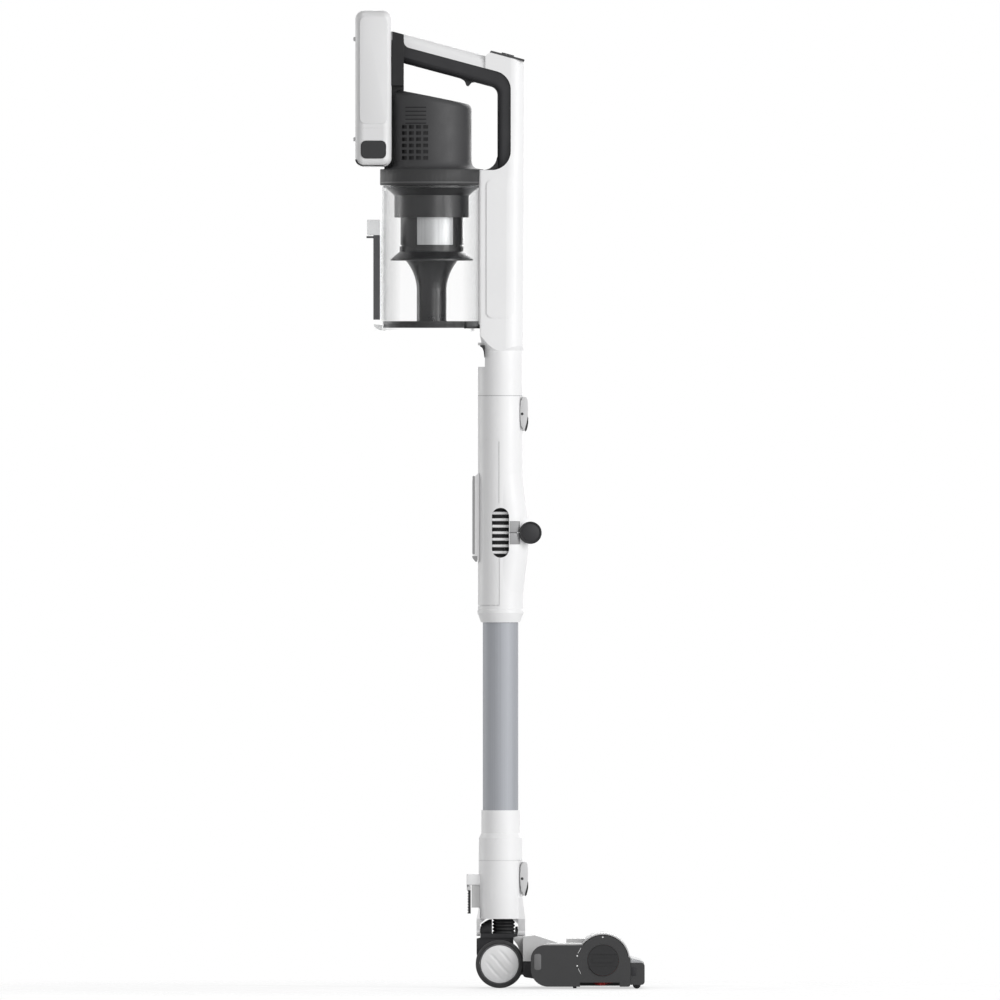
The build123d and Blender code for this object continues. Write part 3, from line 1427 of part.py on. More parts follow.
# Every piece and the file that it is written to
def all_pieces():
    spine = make_spine()
    bays = head_bays()
    button = battery_button_form(0, 0)
    upper_pivot_z = seam_z - rocker_drop
    lower_pivot_z = neck_seam_z - rocker_drop
    neck_pins = [make_rocker_pin(lower_pivot_z), make_clip_pin(), *swivel_pin_rods(swivel_pin_r)]
    neck_hose_plane = Plane(origin=(neck_hose_x, 0, (neck_socket_floor_z + hose_bottom_z()) / 2))
    return {
        "spine_housing": Compound(children=[spine, make_spigot(seam_z)]),
        "inlet_seal": make_port_seal(),
        "handle_shell": make_handle_shell(),
        "grip_frame": make_grip_frame(spine),
        "trigger": make_trigger(),
        "control_panel": make_control_panel(),
        "mode_button": mode_button_form(0, 0),
        "battery_rail": make_battery_rail(),
        "motor_housing": make_motor_housing(),
        "motor_collar": make_motor_collar(),
        "dust_filter": make_filter(),
        "suction_motor": make_stator(),
        "fan_rotor": make_fan_rotor(),
        "battery_case": make_battery_case(),
        "battery_end_cap": make_battery_cap(),
        "battery_pack": Compound(children=[*make_battery_cells(), make_cell_holder(), make_battery_board()]),
        "battery_button_left": button,
        "battery_button_right": mirrored(button),
        "dust_cup": make_cup_wall(),
        "cyclone": make_cyclone(),
        "mesh_screen": make_mesh_screen(),
        "lid_hinge_pin": make_lid_pin(),
        "lid_slider": make_lid_slider(),
        "slider_tab": make_slider_tab(),
        "cup_lid": make_lid(),
        "lid_gasket": make_lid_gasket(),
        "wand_upper": make_upper_housing(),
        "fold_cover": make_fold_cover(),
        "fold_latch": make_fold_latch(),
        "wand_pins": Compound(children=[make_hinge_pin(), make_rocker_pin(upper_pivot_z)]),
        "fold_brackets_upper": make_hinge_bracket(1),
        "fold_brackets_lower": make_hinge_bracket(-1),
        "fold_hose": ribbed_hose(Plane(origin=(0, 0, fold_z)), fold_hose_r, fold_hose_groove, fold_hose_wall,
                                 fold_hose_pitch, fold_hose_ribs),
        "upper_rocker": make_rocker(upper_pivot_z),
        "wand_lower": make_lower_housing(),
        "wand_tube": make_wand_tube(),
        "wand_coupling": Compound(children=[make_coupling(), make_spigot(neck_seam_z)]),
        "neck": make_neck(),
        "lower_rocker": make_rocker(lower_pivot_z),
        "neck_pins": Compound(children=neck_pins),
        "neck_hose": ribbed_hose(neck_hose_plane, neck_hose_r, neck_hose_groove, neck_hose_wall,
                                 neck_hose_pitch, neck_hose_ribs),
        "neck_clip": make_clip_bracket() + make_clip_block(),
        "clip_lever": make_clip_lever(),
        "yoke": make_yoke(),
        "axle_stubs": make_axle_stubs(),
        "wheel_left": Compound(children=[make_hub(-1), make_tyre(-1)]),
        "wheel_right": Compound(children=[make_hub(1), make_tyre(1)]),
        "head_base": make_head_base(bays),
        "head_cover": make_top_cover(bays),
        "head_fairing": make_fairing(bays),
        "side_plates": Compound(children=[
            make_left_side_plate(), make_right_side_plate(), make_bearing_block(),
        ]),
        "end_cap": make_end_cap(),
        "brush_roll": make_brush_roll(),
        "brush_bristles": make_bristles(),
        "head_bumper": make_bumper(),
        "head_lens": make_lens(),
        "roller_left": make_roller(-1),
        "roller_right": make_roller(1),
        "brush_drive": Compound(children=[make_brush_motor(), make_belt()]),
        "motor_pulley": make_motor_pulley(),
    }


os.makedirs("parts", exist_ok=True)
for name, piece in all_pieces().items():
    export_step(piece, f"parts/{name}.step")
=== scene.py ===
import math

import bmesh
import bpy
from mathutils import Matrix, Vector


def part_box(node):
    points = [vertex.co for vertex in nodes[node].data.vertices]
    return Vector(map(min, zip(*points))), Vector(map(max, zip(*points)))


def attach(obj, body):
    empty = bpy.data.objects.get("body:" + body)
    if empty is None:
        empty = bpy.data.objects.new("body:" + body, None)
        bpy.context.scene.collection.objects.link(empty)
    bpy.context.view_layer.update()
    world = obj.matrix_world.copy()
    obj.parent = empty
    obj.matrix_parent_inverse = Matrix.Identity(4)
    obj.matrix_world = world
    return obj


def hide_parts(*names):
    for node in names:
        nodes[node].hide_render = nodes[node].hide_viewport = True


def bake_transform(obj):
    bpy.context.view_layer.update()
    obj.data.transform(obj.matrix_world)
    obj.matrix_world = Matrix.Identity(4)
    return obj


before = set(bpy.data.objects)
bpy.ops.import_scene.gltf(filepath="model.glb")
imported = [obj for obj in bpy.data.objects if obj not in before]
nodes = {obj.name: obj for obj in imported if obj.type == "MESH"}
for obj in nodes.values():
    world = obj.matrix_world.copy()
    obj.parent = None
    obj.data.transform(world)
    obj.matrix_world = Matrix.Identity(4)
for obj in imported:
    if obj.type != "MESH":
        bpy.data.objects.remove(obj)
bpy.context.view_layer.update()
scene = bpy.context.scene
mm = 0.001

# Axes and levels that the pieces share with the solids, in millimetres
fold_z = 528.0
hinge_x = 34.8
cup_x = -79.8
cup_axis = (cup_x, 0, 0)
rocker_pivot_x = 25.1
upper_pivot_z = 665.9
lower_pivot_z = 126.6
neck_hose_x = 3.7
neck_hose_z = 78.0
swivel_z = 66.0
wheel_x = -1.0
wheel_z = 27.8
brush_x = 118.8
brush_z = 33.0
side_y = -130.0

# Directions: up the wand, towards the viewer, towards the floor head's nose
up = (0, 0, 1)
to_viewer = (0, -1, 0)
to_nose = (1, 0, 0)


# Finishes
def new_finish(name):
    """Material with one principled shader, and its object coordinates."""
    finish = bpy.data.materials.new(name)
    finish.use_nodes = True
    tree = finish.node_tree
    coords = tree.nodes.new("ShaderNodeTexCoord").outputs["Object"]
    return finish, tree, tree.nodes["Principled BSDF"], coords


def stretched(tree, coords, scale):
    """Coordinates drawn out along some axes."""
    node = tree.nodes.new("ShaderNodeMapping")
    node.inputs["Scale"].default_value = scale
    tree.links.new(coords, node.inputs["Vector"])
    return node.outputs["Vector"]


def mottle(tree, coords, scale, detail):
    """Soft uneven pattern."""
    node = tree.nodes.new("ShaderNodeTexNoise")
    node.inputs["Scale"].default_value = scale
    node.inputs["Detail"].default_value = detail
    tree.links.new(coords, node.inputs["Vector"])
    return node.outputs["Fac"]


def span(tree, source, low, high, start=0.3, end=0.7):
    """Number that runs from low to high as the source runs from start to end."""
    node = tree.nodes.new("ShaderNodeMapRange")
    node.inputs["From Min"].default_value = start
    node.inputs["From Max"].default_value = end
    node.inputs["To Min"].default_value = low
    node.inputs["To Max"].default_value = high
    tree.links.new(source, node.inputs["Value"])
    return node.outputs["Result"]


def tint(tree, source, dark, light, start=0.3, end=0.7):
    """Colour that runs from dark to light as the source runs from start to end."""
    node = tree.nodes.new("ShaderNodeValToRGB")
    first, last = node.color_ramp.elements
    first.position, last.position = start, end
    first.color, last.color = (*dark, 1), (*light, 1)
    tree.links.new(source, node.inputs["Fac"])
    return node.outputs["Color"]


def emboss(tree, shader, source, depth, strength=1.0):
    """Relief of that depth in metres on the shader's normal."""
    node = tree.nodes.new("ShaderNodeBump")
    node.inputs["Distance"].default_value = depth
    node.inputs["Strength"].default_value = strength
    tree.links.new(source, node.inputs["Height"])
    tree.links.new(node.outputs["Normal"], shader.inputs["Normal"])


def shades(colour, share):
    """Darker and lighter neighbour of a colour."""
    return [c * (1 - share) for c in colour], [min(c * (1 + share), 1.0) for c in colour]


def moulded(name, colour, rough, vary=0.03, grain=1500.0, depth=0.00003, coat=0.0, gloss=0.5):
    """Moulded plastic: faint clouding, patchy gloss and a fine spark-eroded grain."""
    finish, tree, shader, coords = new_finish(name)
    dark, light = shades(colour, vary)
    tree.links.new(tint(tree, mottle(tree, coords, 16, 3), dark, light), shader.inputs["Base Color"])
    gloss_patches = span(tree, mottle(tree, coords, 70, 4), rough - 0.05, rough + 0.06)
    tree.links.new(gloss_patches, shader.inputs["Roughness"])
    emboss(tree, shader, mottle(tree, coords, grain, 2), depth)
    shader.inputs["Specular IOR Level"].default_value = gloss
    shader.inputs["Coat Weight"].default_value = coat
    shader.inputs["Coat Roughness"].default_value = 0.25
    return finish


def drawn_metal(name, colour, rough, metallic, along):
    """Metal with fine drawing lines that run along one axis."""
    finish, tree, shader, coords = new_finish(name)
    dark, light = shades(colour, 0.06)
    lines = mottle(tree, stretched(tree, coords, [3 if a else 900 for a in along]), 1.0, 3)
    tree.links.new(tint(tree, lines, dark, light), shader.inputs["Base Color"])
    tree.links.new(span(tree, lines, rough - 0.06, rough + 0.08), shader.inputs["Roughness"])
    emboss(tree, shader, lines, 0.00001)
    shader.inputs["Metallic"].default_value = metallic
    return finish


def clear_plastic(name, colour, open_share, edge_share, rough=0.08):
    """Clear moulding: see-through where it faces the eye and denser towards its edges."""
    finish, tree, shader, coords = new_finish(name)
    facing = tree.nodes.new("ShaderNodeLayerWeight")
    facing.inputs["Blend"].default_value = 0.35
    density = span(tree, facing.outputs["Facing"], open_share, edge_share, 0.15, 0.95)
    tree.links.new(density, shader.inputs["Alpha"])
    dark, light = shades(colour, 0.02)
    tree.links.new(tint(tree, mottle(tree, coords, 20, 2), dark, light), shader.inputs["Base Color"])
    smears = span(tree, mottle(tree, coords, 45, 3), rough - 0.02, rough + 0.05)
    tree.links.new(smears, shader.inputs["Roughness"])
    return finish


def rubber_like(name, colour, rough):
    """Dull, slightly uneven skin, for rubber and felt."""
    finish, tree, shader, coords = new_finish(name)
    dark, light = shades(colour, 0.15)
    tree.links.new(tint(tree, mottle(tree, coords, 40, 4), dark, light), shader.inputs["Base Color"])
    dull_patches = span(tree, mottle(tree, coords, 120, 3), rough - 0.08, rough + 0.08)
    tree.links.new(dull_patches, shader.inputs["Roughness"])
    emboss(tree, shader, mottle(tree, coords, 700, 3), 0.00005)
    return finish


white_shell = moulded("white_shell", (0.86, 0.86, 0.865), 0.40, vary=0.015)
battery_white = moulded("battery_white", (0.80, 0.80, 0.805), 0.42, vary=0.015)
hubcap_grey = moulded("hubcap_grey", (0.82, 0.82, 0.825), 0.4, vary=0.05)
soft_grey = moulded("soft_grey", (0.62, 0.62, 0.625), 0.42)
fairing_grey = moulded("fairing_grey", (0.54, 0.54, 0.54), 0.45)
seam_grey = moulded("seam_grey", (0.34, 0.34, 0.345), 0.5)
slot_grey = moulded("slot_grey", (0.12, 0.12, 0.122), 0.45)
mark_pale = moulded("mark_pale", (0.72, 0.72, 0.72), 0.4)
lamp_pale = moulded("lamp_pale", (0.82, 0.82, 0.78), 0.25)
arm_grey = moulded("arm_grey", (0.32, 0.32, 0.325), 0.45)
slider_grey = moulded("slider_grey", (0.082, 0.082, 0.086), 0.45, gloss=0.35)
motor_grey = moulded("motor_grey", (0.050, 0.050, 0.052), 0.5, depth=0.00005, gloss=0.3)
plate_grey = moulded("plate_grey", (0.036, 0.036, 0.037), 0.5, depth=0.00006, gloss=0.3)
grip_dark = moulded("grip_dark", (0.021, 0.021, 0.023), 0.55, depth=0.00008, grain=1100.0, gloss=0.3)
rail_dark = moulded("rail_dark", (0.012, 0.012, 0.013), 0.5, gloss=0.25)
base_dark = moulded("base_dark", (0.018, 0.018, 0.020), 0.52, depth=0.00006, gloss=0.3)
cap_dark = moulded("cap_dark", (0.015, 0.015, 0.016), 0.42, gloss=0.3)
knob_dark = moulded("knob_dark", (0.026, 0.026, 0.028), 0.45, gloss=0.3)
cyclone_dark = moulded("cyclone_dark", (0.008, 0.008, 0.009), 0.32, gloss=0.45)
panel_black = moulded("panel_black", (0.012, 0.012, 0.014), 0.16, depth=0.000005, coat=0.5)
black_rubber = rubber_like("black_rubber", (0.012, 0.012, 0.013), 0.62)
tyre_rubber = rubber_like("tyre_rubber", (0.022, 0.022, 0.023), 0.7)
tube_metal = drawn_metal("tube_metal", (0.36, 0.372, 0.40), 0.52, 0.2, (0, 0, 1))
pin_steel = drawn_metal("pin_steel", (0.55, 0.55, 0.56), 0.3, 1.0, (0, 1, 0))
rotor_alloy = drawn_metal("rotor_alloy", (0.6, 0.6, 0.61), 0.35, 1.0, (1, 0, 0))
cup_clear = clear_plastic("cup_clear", (0.55, 0.56, 0.57), 0.012, 0.5)
tab_clear = clear_plastic("tab_clear", (0.84, 0.85, 0.86), 0.45, 0.85, rough=0.2)
lens_clear = clear_plastic("lens_clear", (0.42, 0.43, 0.45), 0.5, 0.9)
filter_felt = rubber_like("filter_felt", (0.68, 0.68, 0.66), 0.9)
cell_sleeve = moulded("cell_sleeve", (0.12, 0.25, 0.27), 0.3)


def brush_fibre(name, colour):
    """Stiff brush fibre, uneven from tuft to tuft."""
    finish, tree, shader, coords = new_finish(name)
    dark, light = shades(colour, 0.3)
    tree.links.new(tint(tree, mottle(tree, coords, 260, 3), dark, light), shader.inputs["Base Color"])
    tree.links.new(span(tree, mottle(tree, coords, 500, 2), 0.45, 0.7), shader.inputs["Roughness"])
    shader.inputs["Sheen Weight"].default_value = 0.2
    return finish


def woven_screen(name, colour):
    """Fine metal screen: rows of tiny holes as relief and darker spots."""
    finish, tree, shader, coords = new_finish(name)
    cells = tree.nodes.new("ShaderNodeTexVoronoi")
    cells.inputs["Scale"].default_value = 900
    cells.inputs["Randomness"].default_value = 0.1
    tree.links.new(coords, cells.inputs["Vector"])
    holes = cells.outputs["Distance"]
    dark, light = [c * 0.55 for c in colour], colour
    tree.links.new(tint(tree, holes, dark, light, 0.12, 0.4), shader.inputs["Base Color"])
    tree.links.new(span(tree, mottle(tree, coords, 60, 3), 0.3, 0.45), shader.inputs["Roughness"])
    emboss(tree, shader, holes, 0.0001)
    shader.inputs["Metallic"].default_value = 0.6
    return finish


bristle_red = brush_fibre("bristle_red", (0.66, 0.05, 0.045))
screen_metal = woven_screen("screen_metal", (0.38, 0.385, 0.39))

# Finish of each solid
finishes = {
    white_shell: "spine_housing handle_shell wand_upper fold_cover fold_latch wand_lower wand_coupling neck",
    battery_white: "battery_case battery_end_cap",
    soft_grey: "upper_rocker lower_rocker",
    fairing_grey: "head_fairing head_cover neck_clip",
    arm_grey: "fold_brackets_upper fold_brackets_lower",
    slider_grey: "lid_slider",
    motor_grey: "motor_housing",
    plate_grey: "side_plates head_bumper motor_collar",
    grip_dark: "grip_frame trigger",
    rail_dark: "battery_rail",
    base_dark: "head_base yoke clip_lever roller_left roller_right brush_roll",
    cap_dark: "end_cap",
    knob_dark: "wand_pins battery_button_left battery_button_right mode_button",
    cyclone_dark: "cyclone",
    panel_black: "control_panel",
    black_rubber: "inlet_seal lid_gasket",
    tube_metal: "wand_tube",
    pin_steel: "neck_pins lid_hinge_pin axle_stubs suction_motor brush_drive motor_pulley",
    rotor_alloy: "fan_rotor",
    cup_clear: "dust_cup cup_lid",
    tab_clear: "slider_tab",
    lens_clear: "head_lens",
    filter_felt: "dust_filter",
    cell_sleeve: "battery_pack",
}


def soften(node, width):
    """Rounds a solid's sharp edges a little, as a mould does."""
    weld = nodes[node].modifiers.new("weld", "WELD")
    weld.merge_threshold = 0.000005
    edge = nodes[node].modifiers.new("edge_round", "BEVEL")
    edge.width = width * mm
    edge.segments = 2
    edge.limit_method = "ANGLE"
    edge.angle_limit = math.radians(38)
    edge.harden_normals = True


for finish, names in finishes.items():
    for node in names.split():
        solid = nodes[node].data
        solid.materials.clear()
        solid.materials.append(finish)

# Width in mm of the rounding on solids with sharp edges
rounded = {
    0.8: "battery_rail motor_collar fold_latch head_fairing head_bumper neck_clip slider_tab",
    0.5: "grip_frame trigger upper_rocker lower_rocker side_plates end_cap head_cover yoke lid_slider "
         "wand_pins",
    0.4: "fold_brackets_upper fold_brackets_lower battery_button_left battery_button_right mode_button "
         "clip_lever",
}
for width, names in rounded.items():
    for node in names.split():
        soften(node, width)


# Mesh helpers
def piece(name, bm, finish, body, crease=35.0):
    """Object at the origin from a finished bmesh, riding on a body."""
    bmesh.ops.remove_doubles(bm, verts=bm.verts, dist=0.000002)
    bmesh.ops.recalc_face_normals(bm, faces=bm.faces)
    mesh = bpy.data.meshes.new(name)
    for face in bm.faces:
        face.smooth = True
    bm.to_mesh(mesh)
    bm.free()
    mesh.set_sharp_from_angle(angle=math.radians(crease))
    for layer in finish if isinstance(finish, (list, tuple)) else [finish]:
        mesh.materials.append(layer)
    made = bpy.data.objects.new(name, mesh)
    scene.collection.objects.link(made)
    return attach(made, body)


def turned(profile, centre, axis, closed=True, steps=72):
    """Full turn of a (radius, height) profile in mm about an axis through a centre in mm."""
    bm = bmesh.new()
    middle = Vector(centre) * mm
    along = Vector(axis).normalized()
    out = along.orthogonal().normalized()
    verts = [bm.verts.new(middle + out * (r * mm) + along * (h * mm)) for r, h in profile]
    loop = verts + verts[:1] if closed else verts
    edges = [bm.edges.new(pair) for pair in zip(loop, loop[1:])]
    bmesh.ops.spin(bm, geom=verts + edges, cent=middle, axis=along, angle=2 * math.pi, steps=steps,
                   use_merge=True, use_duplicate=False)
    bmesh.ops.remove_doubles(bm, verts=bm.verts, dist=0.000002)
    return bm


def block(low, high, round_mm=0.0, segments=3):
    """Box between two corners in mm with rounded edges."""
    bm = bmesh.new()
    size = [(b - a) * mm for a, b in zip(low, high)]
    centre = Vector([(a + b) / 2 * mm for a, b in zip(low, high)])
    place = Matrix.Translation(centre) @ Matrix.Diagonal((*size, 1))
    bmesh.ops.create_cube(bm, size=1.0, matrix=place)
    if round_mm:
        bmesh.ops.bevel(bm, geom=bm.edges[:], offset=round_mm * mm, affect="EDGES", segments=segments,
                        profile=0.5, material=-1)
    return bm


def side_plate(corners, y_low, y_high, round_mm=0.0, segments=3):
    """Flat outline of (x, z) corners in mm, filled from y_low to y_high, with rounded rims."""
    bm = bmesh.new()
    verts = [bm.verts.new((x * mm, y_low * mm, z * mm)) for x, z in corners]
    face = bm.faces.new(verts)
    grown = bmesh.ops.extrude_face_region(bm, geom=[face])
    moved = [v for v in grown["geom"] if isinstance(v, bmesh.types.BMVert)]
    bmesh.ops.translate(bm, verts=moved, vec=(0, (y_high - y_low) * mm, 0))
    if round_mm:
        rims = [e for e in bm.edges if abs(e.verts[0].co.y - e.verts[1].co.y) < 1e-7]
        bmesh.ops.bevel(bm, geom=rims, offset=round_mm * mm, affect="EDGES", segments=segments,
                        profile=0.5, material=-1)
    return bm


def joined(*shapes):
    """Several bmeshes as one."""
    whole = shapes[0]
    for shape in shapes[1:]:
        mesh = bpy.data.meshes.new("part")
        shape.to_mesh(mesh)
        shape.free()
        whole.from_mesh(mesh)
        bpy.data.meshes.remove(mesh)
    return whole


def arc(centre, radius, start, end, steps):
    """Points (x, z) on an arc in degrees, counted from +X towards +Z."""
    turn = [math.radians(start + (end - start) * i / steps) for i in range(steps + 1)]
    return [(centre[0] + radius * math.cos(a), centre[1] + radius * math.sin(a)) for a in turn]


# Ribbed hoses
def rib_profile(crest_r, groove, wall, pitch, ribs):
    """Closed (radius, height) profile of a hose with rounded ribs and a plain bore."""
    steps = 10
    outside = []
    for i in range(ribs * steps + 1):
        wave = 0.5 - 0.5 * math.cos(2 * math.pi * i / steps)
        outside.append((crest_r - groove * (1 - wave ** 0.6), (i / steps - ribs / 2) * pitch))
    bore = crest_r - groove - wall
    return outside + [(bore, ribs * pitch / 2), (bore, -ribs * pitch / 2)]


# Radius below which the fold hose's faces are black: painted shade in the grooves between its white ribs
groove_shade_r = 18.5
fold_ribs = rib_profile(crest_r=19.0, groove=2.6, wall=1.2, pitch=7.6, ribs=19)
fold_shape = turned(fold_ribs, (0, 0, fold_z), up, steps=64)
# Groove faces take the black material as painted shade, crest faces stay white
for face in fold_shape.faces:
    reach = math.hypot(*face.calc_center_median()[:2]) / mm
    face.material_index = 1 if reach < groove_shade_r else 0
fold_hose = piece("fold_hose_skin", fold_shape, [white_shell, black_rubber], "wand_upper", crease=60)
fold_hose.parent = None
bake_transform(fold_hose)
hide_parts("fold_hose")

neck_ribs = rib_profile(crest_r=13.2, groove=1.8, wall=1.0, pitch=4.0, ribs=8)
neck_shape = turned(neck_ribs, (neck_hose_x, 0, neck_hose_z), up, steps=64)
neck_hose = piece("neck_hose_skin", neck_shape, black_rubber, "neck", crease=60)
neck_hose.parent = None
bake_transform(neck_hose)
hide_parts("neck_hose")


# Brush with helical rows of tufts
brush_low, brush_high = -119.0, 104.0
sleeve_inner_r, sleeve_outer_r = 16.2, 17.2
tuft_rows, tufts_in_row = 4, 200
row_turn = 140.0
lane_angle, lane_lean = 3.2, 2.0
tuft_inset = 1.5
tuft_sway, sway_rate = 2.2, 2.4
tuft_foot, tuft_tip = 16.6, 29.0
tip_unevenness, tip_rate = 0.35, 1.7
foot_thickness, tip_thickness = 0.9, 0.55


def brush_tufts():
    """Helical rows of tapered tufts, two side by side, on a thin sleeve round the brush's core."""
    sleeve = [(sleeve_inner_r, brush_low), (sleeve_outer_r, brush_low), (sleeve_outer_r, brush_high),
              (sleeve_inner_r, brush_high)]
    bm = turned(sleeve, (brush_x, 0, brush_z), (0, 1, 0), steps=48)
    length = brush_high - brush_low
    for row in range(tuft_rows):
        for i in range(tufts_in_row):
            y = brush_low + tuft_inset + (length - 2 * tuft_inset) * i / (tufts_in_row - 1)
            for lane in (-1, 1):
                angle = 360 * row / tuft_rows + row_turn * (y - brush_low) / length + lane * lane_angle
                lean = tuft_sway * math.sin(i * sway_rate + lane) + lane * lane_lean
                tall = tuft_tip + tip_unevenness * math.sin(i * tip_rate + row) - tuft_foot
                place = (Matrix.Translation(Vector((brush_x, y, brush_z)) * mm)
                         @ Matrix.Rotation(math.radians(angle), 4, "Y")
                         @ Matrix.Translation((0, 0, tuft_foot * mm))
                         @ Matrix.Rotation(math.radians(lean), 4, "Y")
                         @ Matrix.Translation((0, 0, tall / 2 * mm)))
                bmesh.ops.create_cone(bm, cap_ends=True, segments=4, radius1=foot_thickness * mm,
                                      radius2=tip_thickness * mm, depth=tall * mm, matrix=place)
    return bm


tufts = piece("brush_tufts", brush_tufts(), bristle_red, "brush", crease=60)
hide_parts("brush_bristles")


# Wheels: tyre with a groove round its tread, hub, domed cap with soft slanting flutes
wheel_middle_y = 42.0
cap_rise = 8.0
cap_drop = 1.2
cap_rings = 31
ring_step = 0.7
flute_depth = 0.75
flute_pitch = 10.5
flute_reach = 18.5
flute_fade = 6
slant_x, slant_z = 0.62, 0.78
flute_wave, wave_rate = 2.2, 0.07


def wheel(side, body):
    """One wheel, on the side that side points to."""
    centre = (wheel_x, side * wheel_middle_y, wheel_z)
    out = (0, side, 0)
    tread = [(23.7, -7.0), (26.6, -7.0), (27.5, -6.1), (27.8, -4.9), (27.8, -1.9), (27.2, -1.5), (27.2, 1.5),
             (27.8, 1.9), (27.8, 4.9), (27.5, 6.1), (26.4, 7.0), (24.6, 7.0), (24.2, 6.5), (23.7, 6.4)]
    tyre = piece(body + "_tyre", turned(tread, centre, out, steps=96), tyre_rubber, body)
    drum = [(4.1, -8.0), (23.0, -8.0), (23.6, -7.4), (23.6, 6.6), (22.6, 7.0), (21.9, 7.0), (21.9, 4.0),
            (4.1, 4.0)]
    hub = piece(body + "_hub", turned(drum, centre, out, steps=96), slider_grey, body)
    dome = [(i * ring_step, cap_rise - cap_drop * (i / cap_rings) ** 4) for i in range(cap_rings + 1)]
    cap = turned(dome + [(22.3, 6.2), (22.3, 4.1)], centre, out, closed=False, steps=96)
    for vert in cap.verts:
        x, z = vert.co.x / mm - wheel_x, vert.co.z / mm - wheel_z
        reach = math.hypot(x, z)
        slant = (x * slant_x + z * slant_z) + flute_wave * math.sin((x - z) * wave_rate)
        flute = max(0.0, math.cos(slant * 2 * math.pi / flute_pitch)) ** 2
        inside = max(0.0, min(1.0, (flute_reach - reach) / flute_fade))
        vert.co.y -= side * flute_depth * mm * flute * inside
    cover = piece(body + "_cap", cap, hubcap_grey, body, crease=50)
    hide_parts(body)


wheel(-1, "wheel_left")
wheel(1, "wheel_right")

# Fine screen of the cyclone
sleeve_shape = turned([(36.4, 862.1), (36.4, 895.6), (35.5, 895.6), (35.5, 862.1)], cup_axis, up, steps=96)
screen = piece("screen_sleeve", sleeve_shape, screen_metal, "dust_cup")
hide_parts("mesh_screen")


# Trim helpers
def both_sides(shape):
    """Shape together with its mirror image across the middle plane."""
    other = shape.copy()
    bmesh.ops.scale(other, vec=(1, -1, 1), verts=other.verts)
    return joined(shape, other)


def pill(x_low, x_high, z_low, z_high, corner):
    """Outline (x, z) of a rectangle with round corners."""
    centres = [(x_high - corner, z_high - corner, 0), (x_low + corner, z_high - corner, 90),
               (x_low + corner, z_low + corner, 180), (x_high - corner, z_low + corner, 270)]
    return [point for x, z, turn in centres for point in arc((x, z), corner, turn, turn + 90, 6)]


def ring_arc(inner_r, outer_r, z_low, z_high, start, end):
    """Length of a flat-sided ring about the cup's axis, between two angles from +X."""
    section = [(inner_r, z_low), (outer_r, z_low), (outer_r, z_high), (inner_r, z_high)]
    whole = turned(section, cup_axis, up, steps=96)
    for angle, side in ((start, 1), (end, -1)):
        turn = math.radians(angle)
        normal = Vector((math.sin(turn), -math.cos(turn), 0)) * side
        everything = whole.verts[:] + whole.edges[:] + whole.faces[:]
        cut = bmesh.ops.bisect_plane(whole, geom=everything, dist=0.0000001, plane_co=(cup_x * mm, 0, 0),
                                     plane_no=normal, clear_outer=True)
        rim = [part for part in cut["geom_cut"] if isinstance(part, bmesh.types.BMEdge)]
        bmesh.ops.edgeloop_fill(whole, edges=rim)
    return whole


def button_cap(radius, rise, centre, axis):
    """Low crowned disc on a face."""
    rim = min(rise, radius * 0.3)
    profile = [(0.0, rise), (radius - rim, rise * 0.92), (radius - rim * 0.3, rise * 0.6), (radius, 0.0),
               (radius, -0.3)]
    return turned(profile, centre, axis, closed=False, steps=40)


def trim(name, shape, finish, body, crease=35.0):
    """Finished piece of trim."""
    made = piece(name, shape, finish, body, crease)
    return made


# Dark frame round the screen's three windows; its pillars at the screen's sides seen from the front are
# painted shade for the screen's darker edges there
shade_pillar_half = 24.5
shade_pillars = []
for middle in (-142.5, -22.5, 97.5):
    shade_pillars.append(ring_arc(36.2, 36.9, 862.0, 895.7, middle - shade_pillar_half, middle + shade_pillar_half))
trim("screen_shade_frame", joined(*shade_pillars), cyclone_dark, "dust_cup")

# Battery: raised cheeks and a dark foot
cheek = side_plate(pill(-163.4, -130.9, 1002.0, 1127.4, 7.5), -36.6, -35.4, 0.5)
trim("battery_cheeks", both_sides(cheek), battery_white, "battery")
foot_rear, foot_front = (-160.0, 962.4), (-138.0, 962.4)
foot_outer_r, foot_inner_r = 8.9, 7.4
foot_edge = arc(foot_rear, foot_outer_r, 190, 270, 8) + arc(foot_front, foot_outer_r, 270, 330, 6)
foot_back = arc(foot_front, foot_inner_r, 330, 270, 6) + arc(foot_rear, foot_inner_r, 270, 190, 8)
trim("battery_foot", side_plate(foot_edge + foot_back, -32.0, 32.0), rail_dark, "battery")

# Motor: dark ribs above the louvres, black liner behind them, flared foot, line round the collar
rib_low_z, rib_pitch, rib_half = 1003.0, 4.6, 0.6
for row in range(5):
    z = rib_low_z + rib_pitch * row
    rib = ring_arc(45.9, 46.5, z - rib_half, z + rib_half, -131.0, -98.0)
    trim("motor_rib_%d" % (row + 1), both_sides(rib), rail_dark, "hand_unit")
flare = [(46.3, 959.4), (46.9, 956.0), (48.4, 953.2), (51.5, 951.2), (56.0, 950.2), (56.0, 950.0),
         (46.3, 950.0)]
trim("motor_flare", turned(flare, cup_axis, up, steps=96), motor_grey, "hand_unit")
collar_line = turned([(59.8, 934.2), (60.2, 934.2), (60.2, 935.0), (59.8, 935.0)], cup_axis, up, steps=96)
trim("collar_line", collar_line, slot_grey, "hand_unit")
louvre_back = ring_arc(43.45, 43.65, 953.0, 1004.0, -150.0, -86.0)
trim("louvre_liner", both_sides(louvre_back), black_rubber, "hand_unit")

# Curved tail of the grip on the spine's shoulder
tail_curve = arc((-20.2, 965.0), 16.0, 0, -90, 12)[1:]
tail = [(-2.3, 950.2), (-3.7, 964.5)] + tail_curve + [(-22.6, 947.6), (-12.0, 947.6)]
trim("grip_tail", side_plate(tail, -15.0, 15.0, 0.4), grip_dark, "hand_unit")

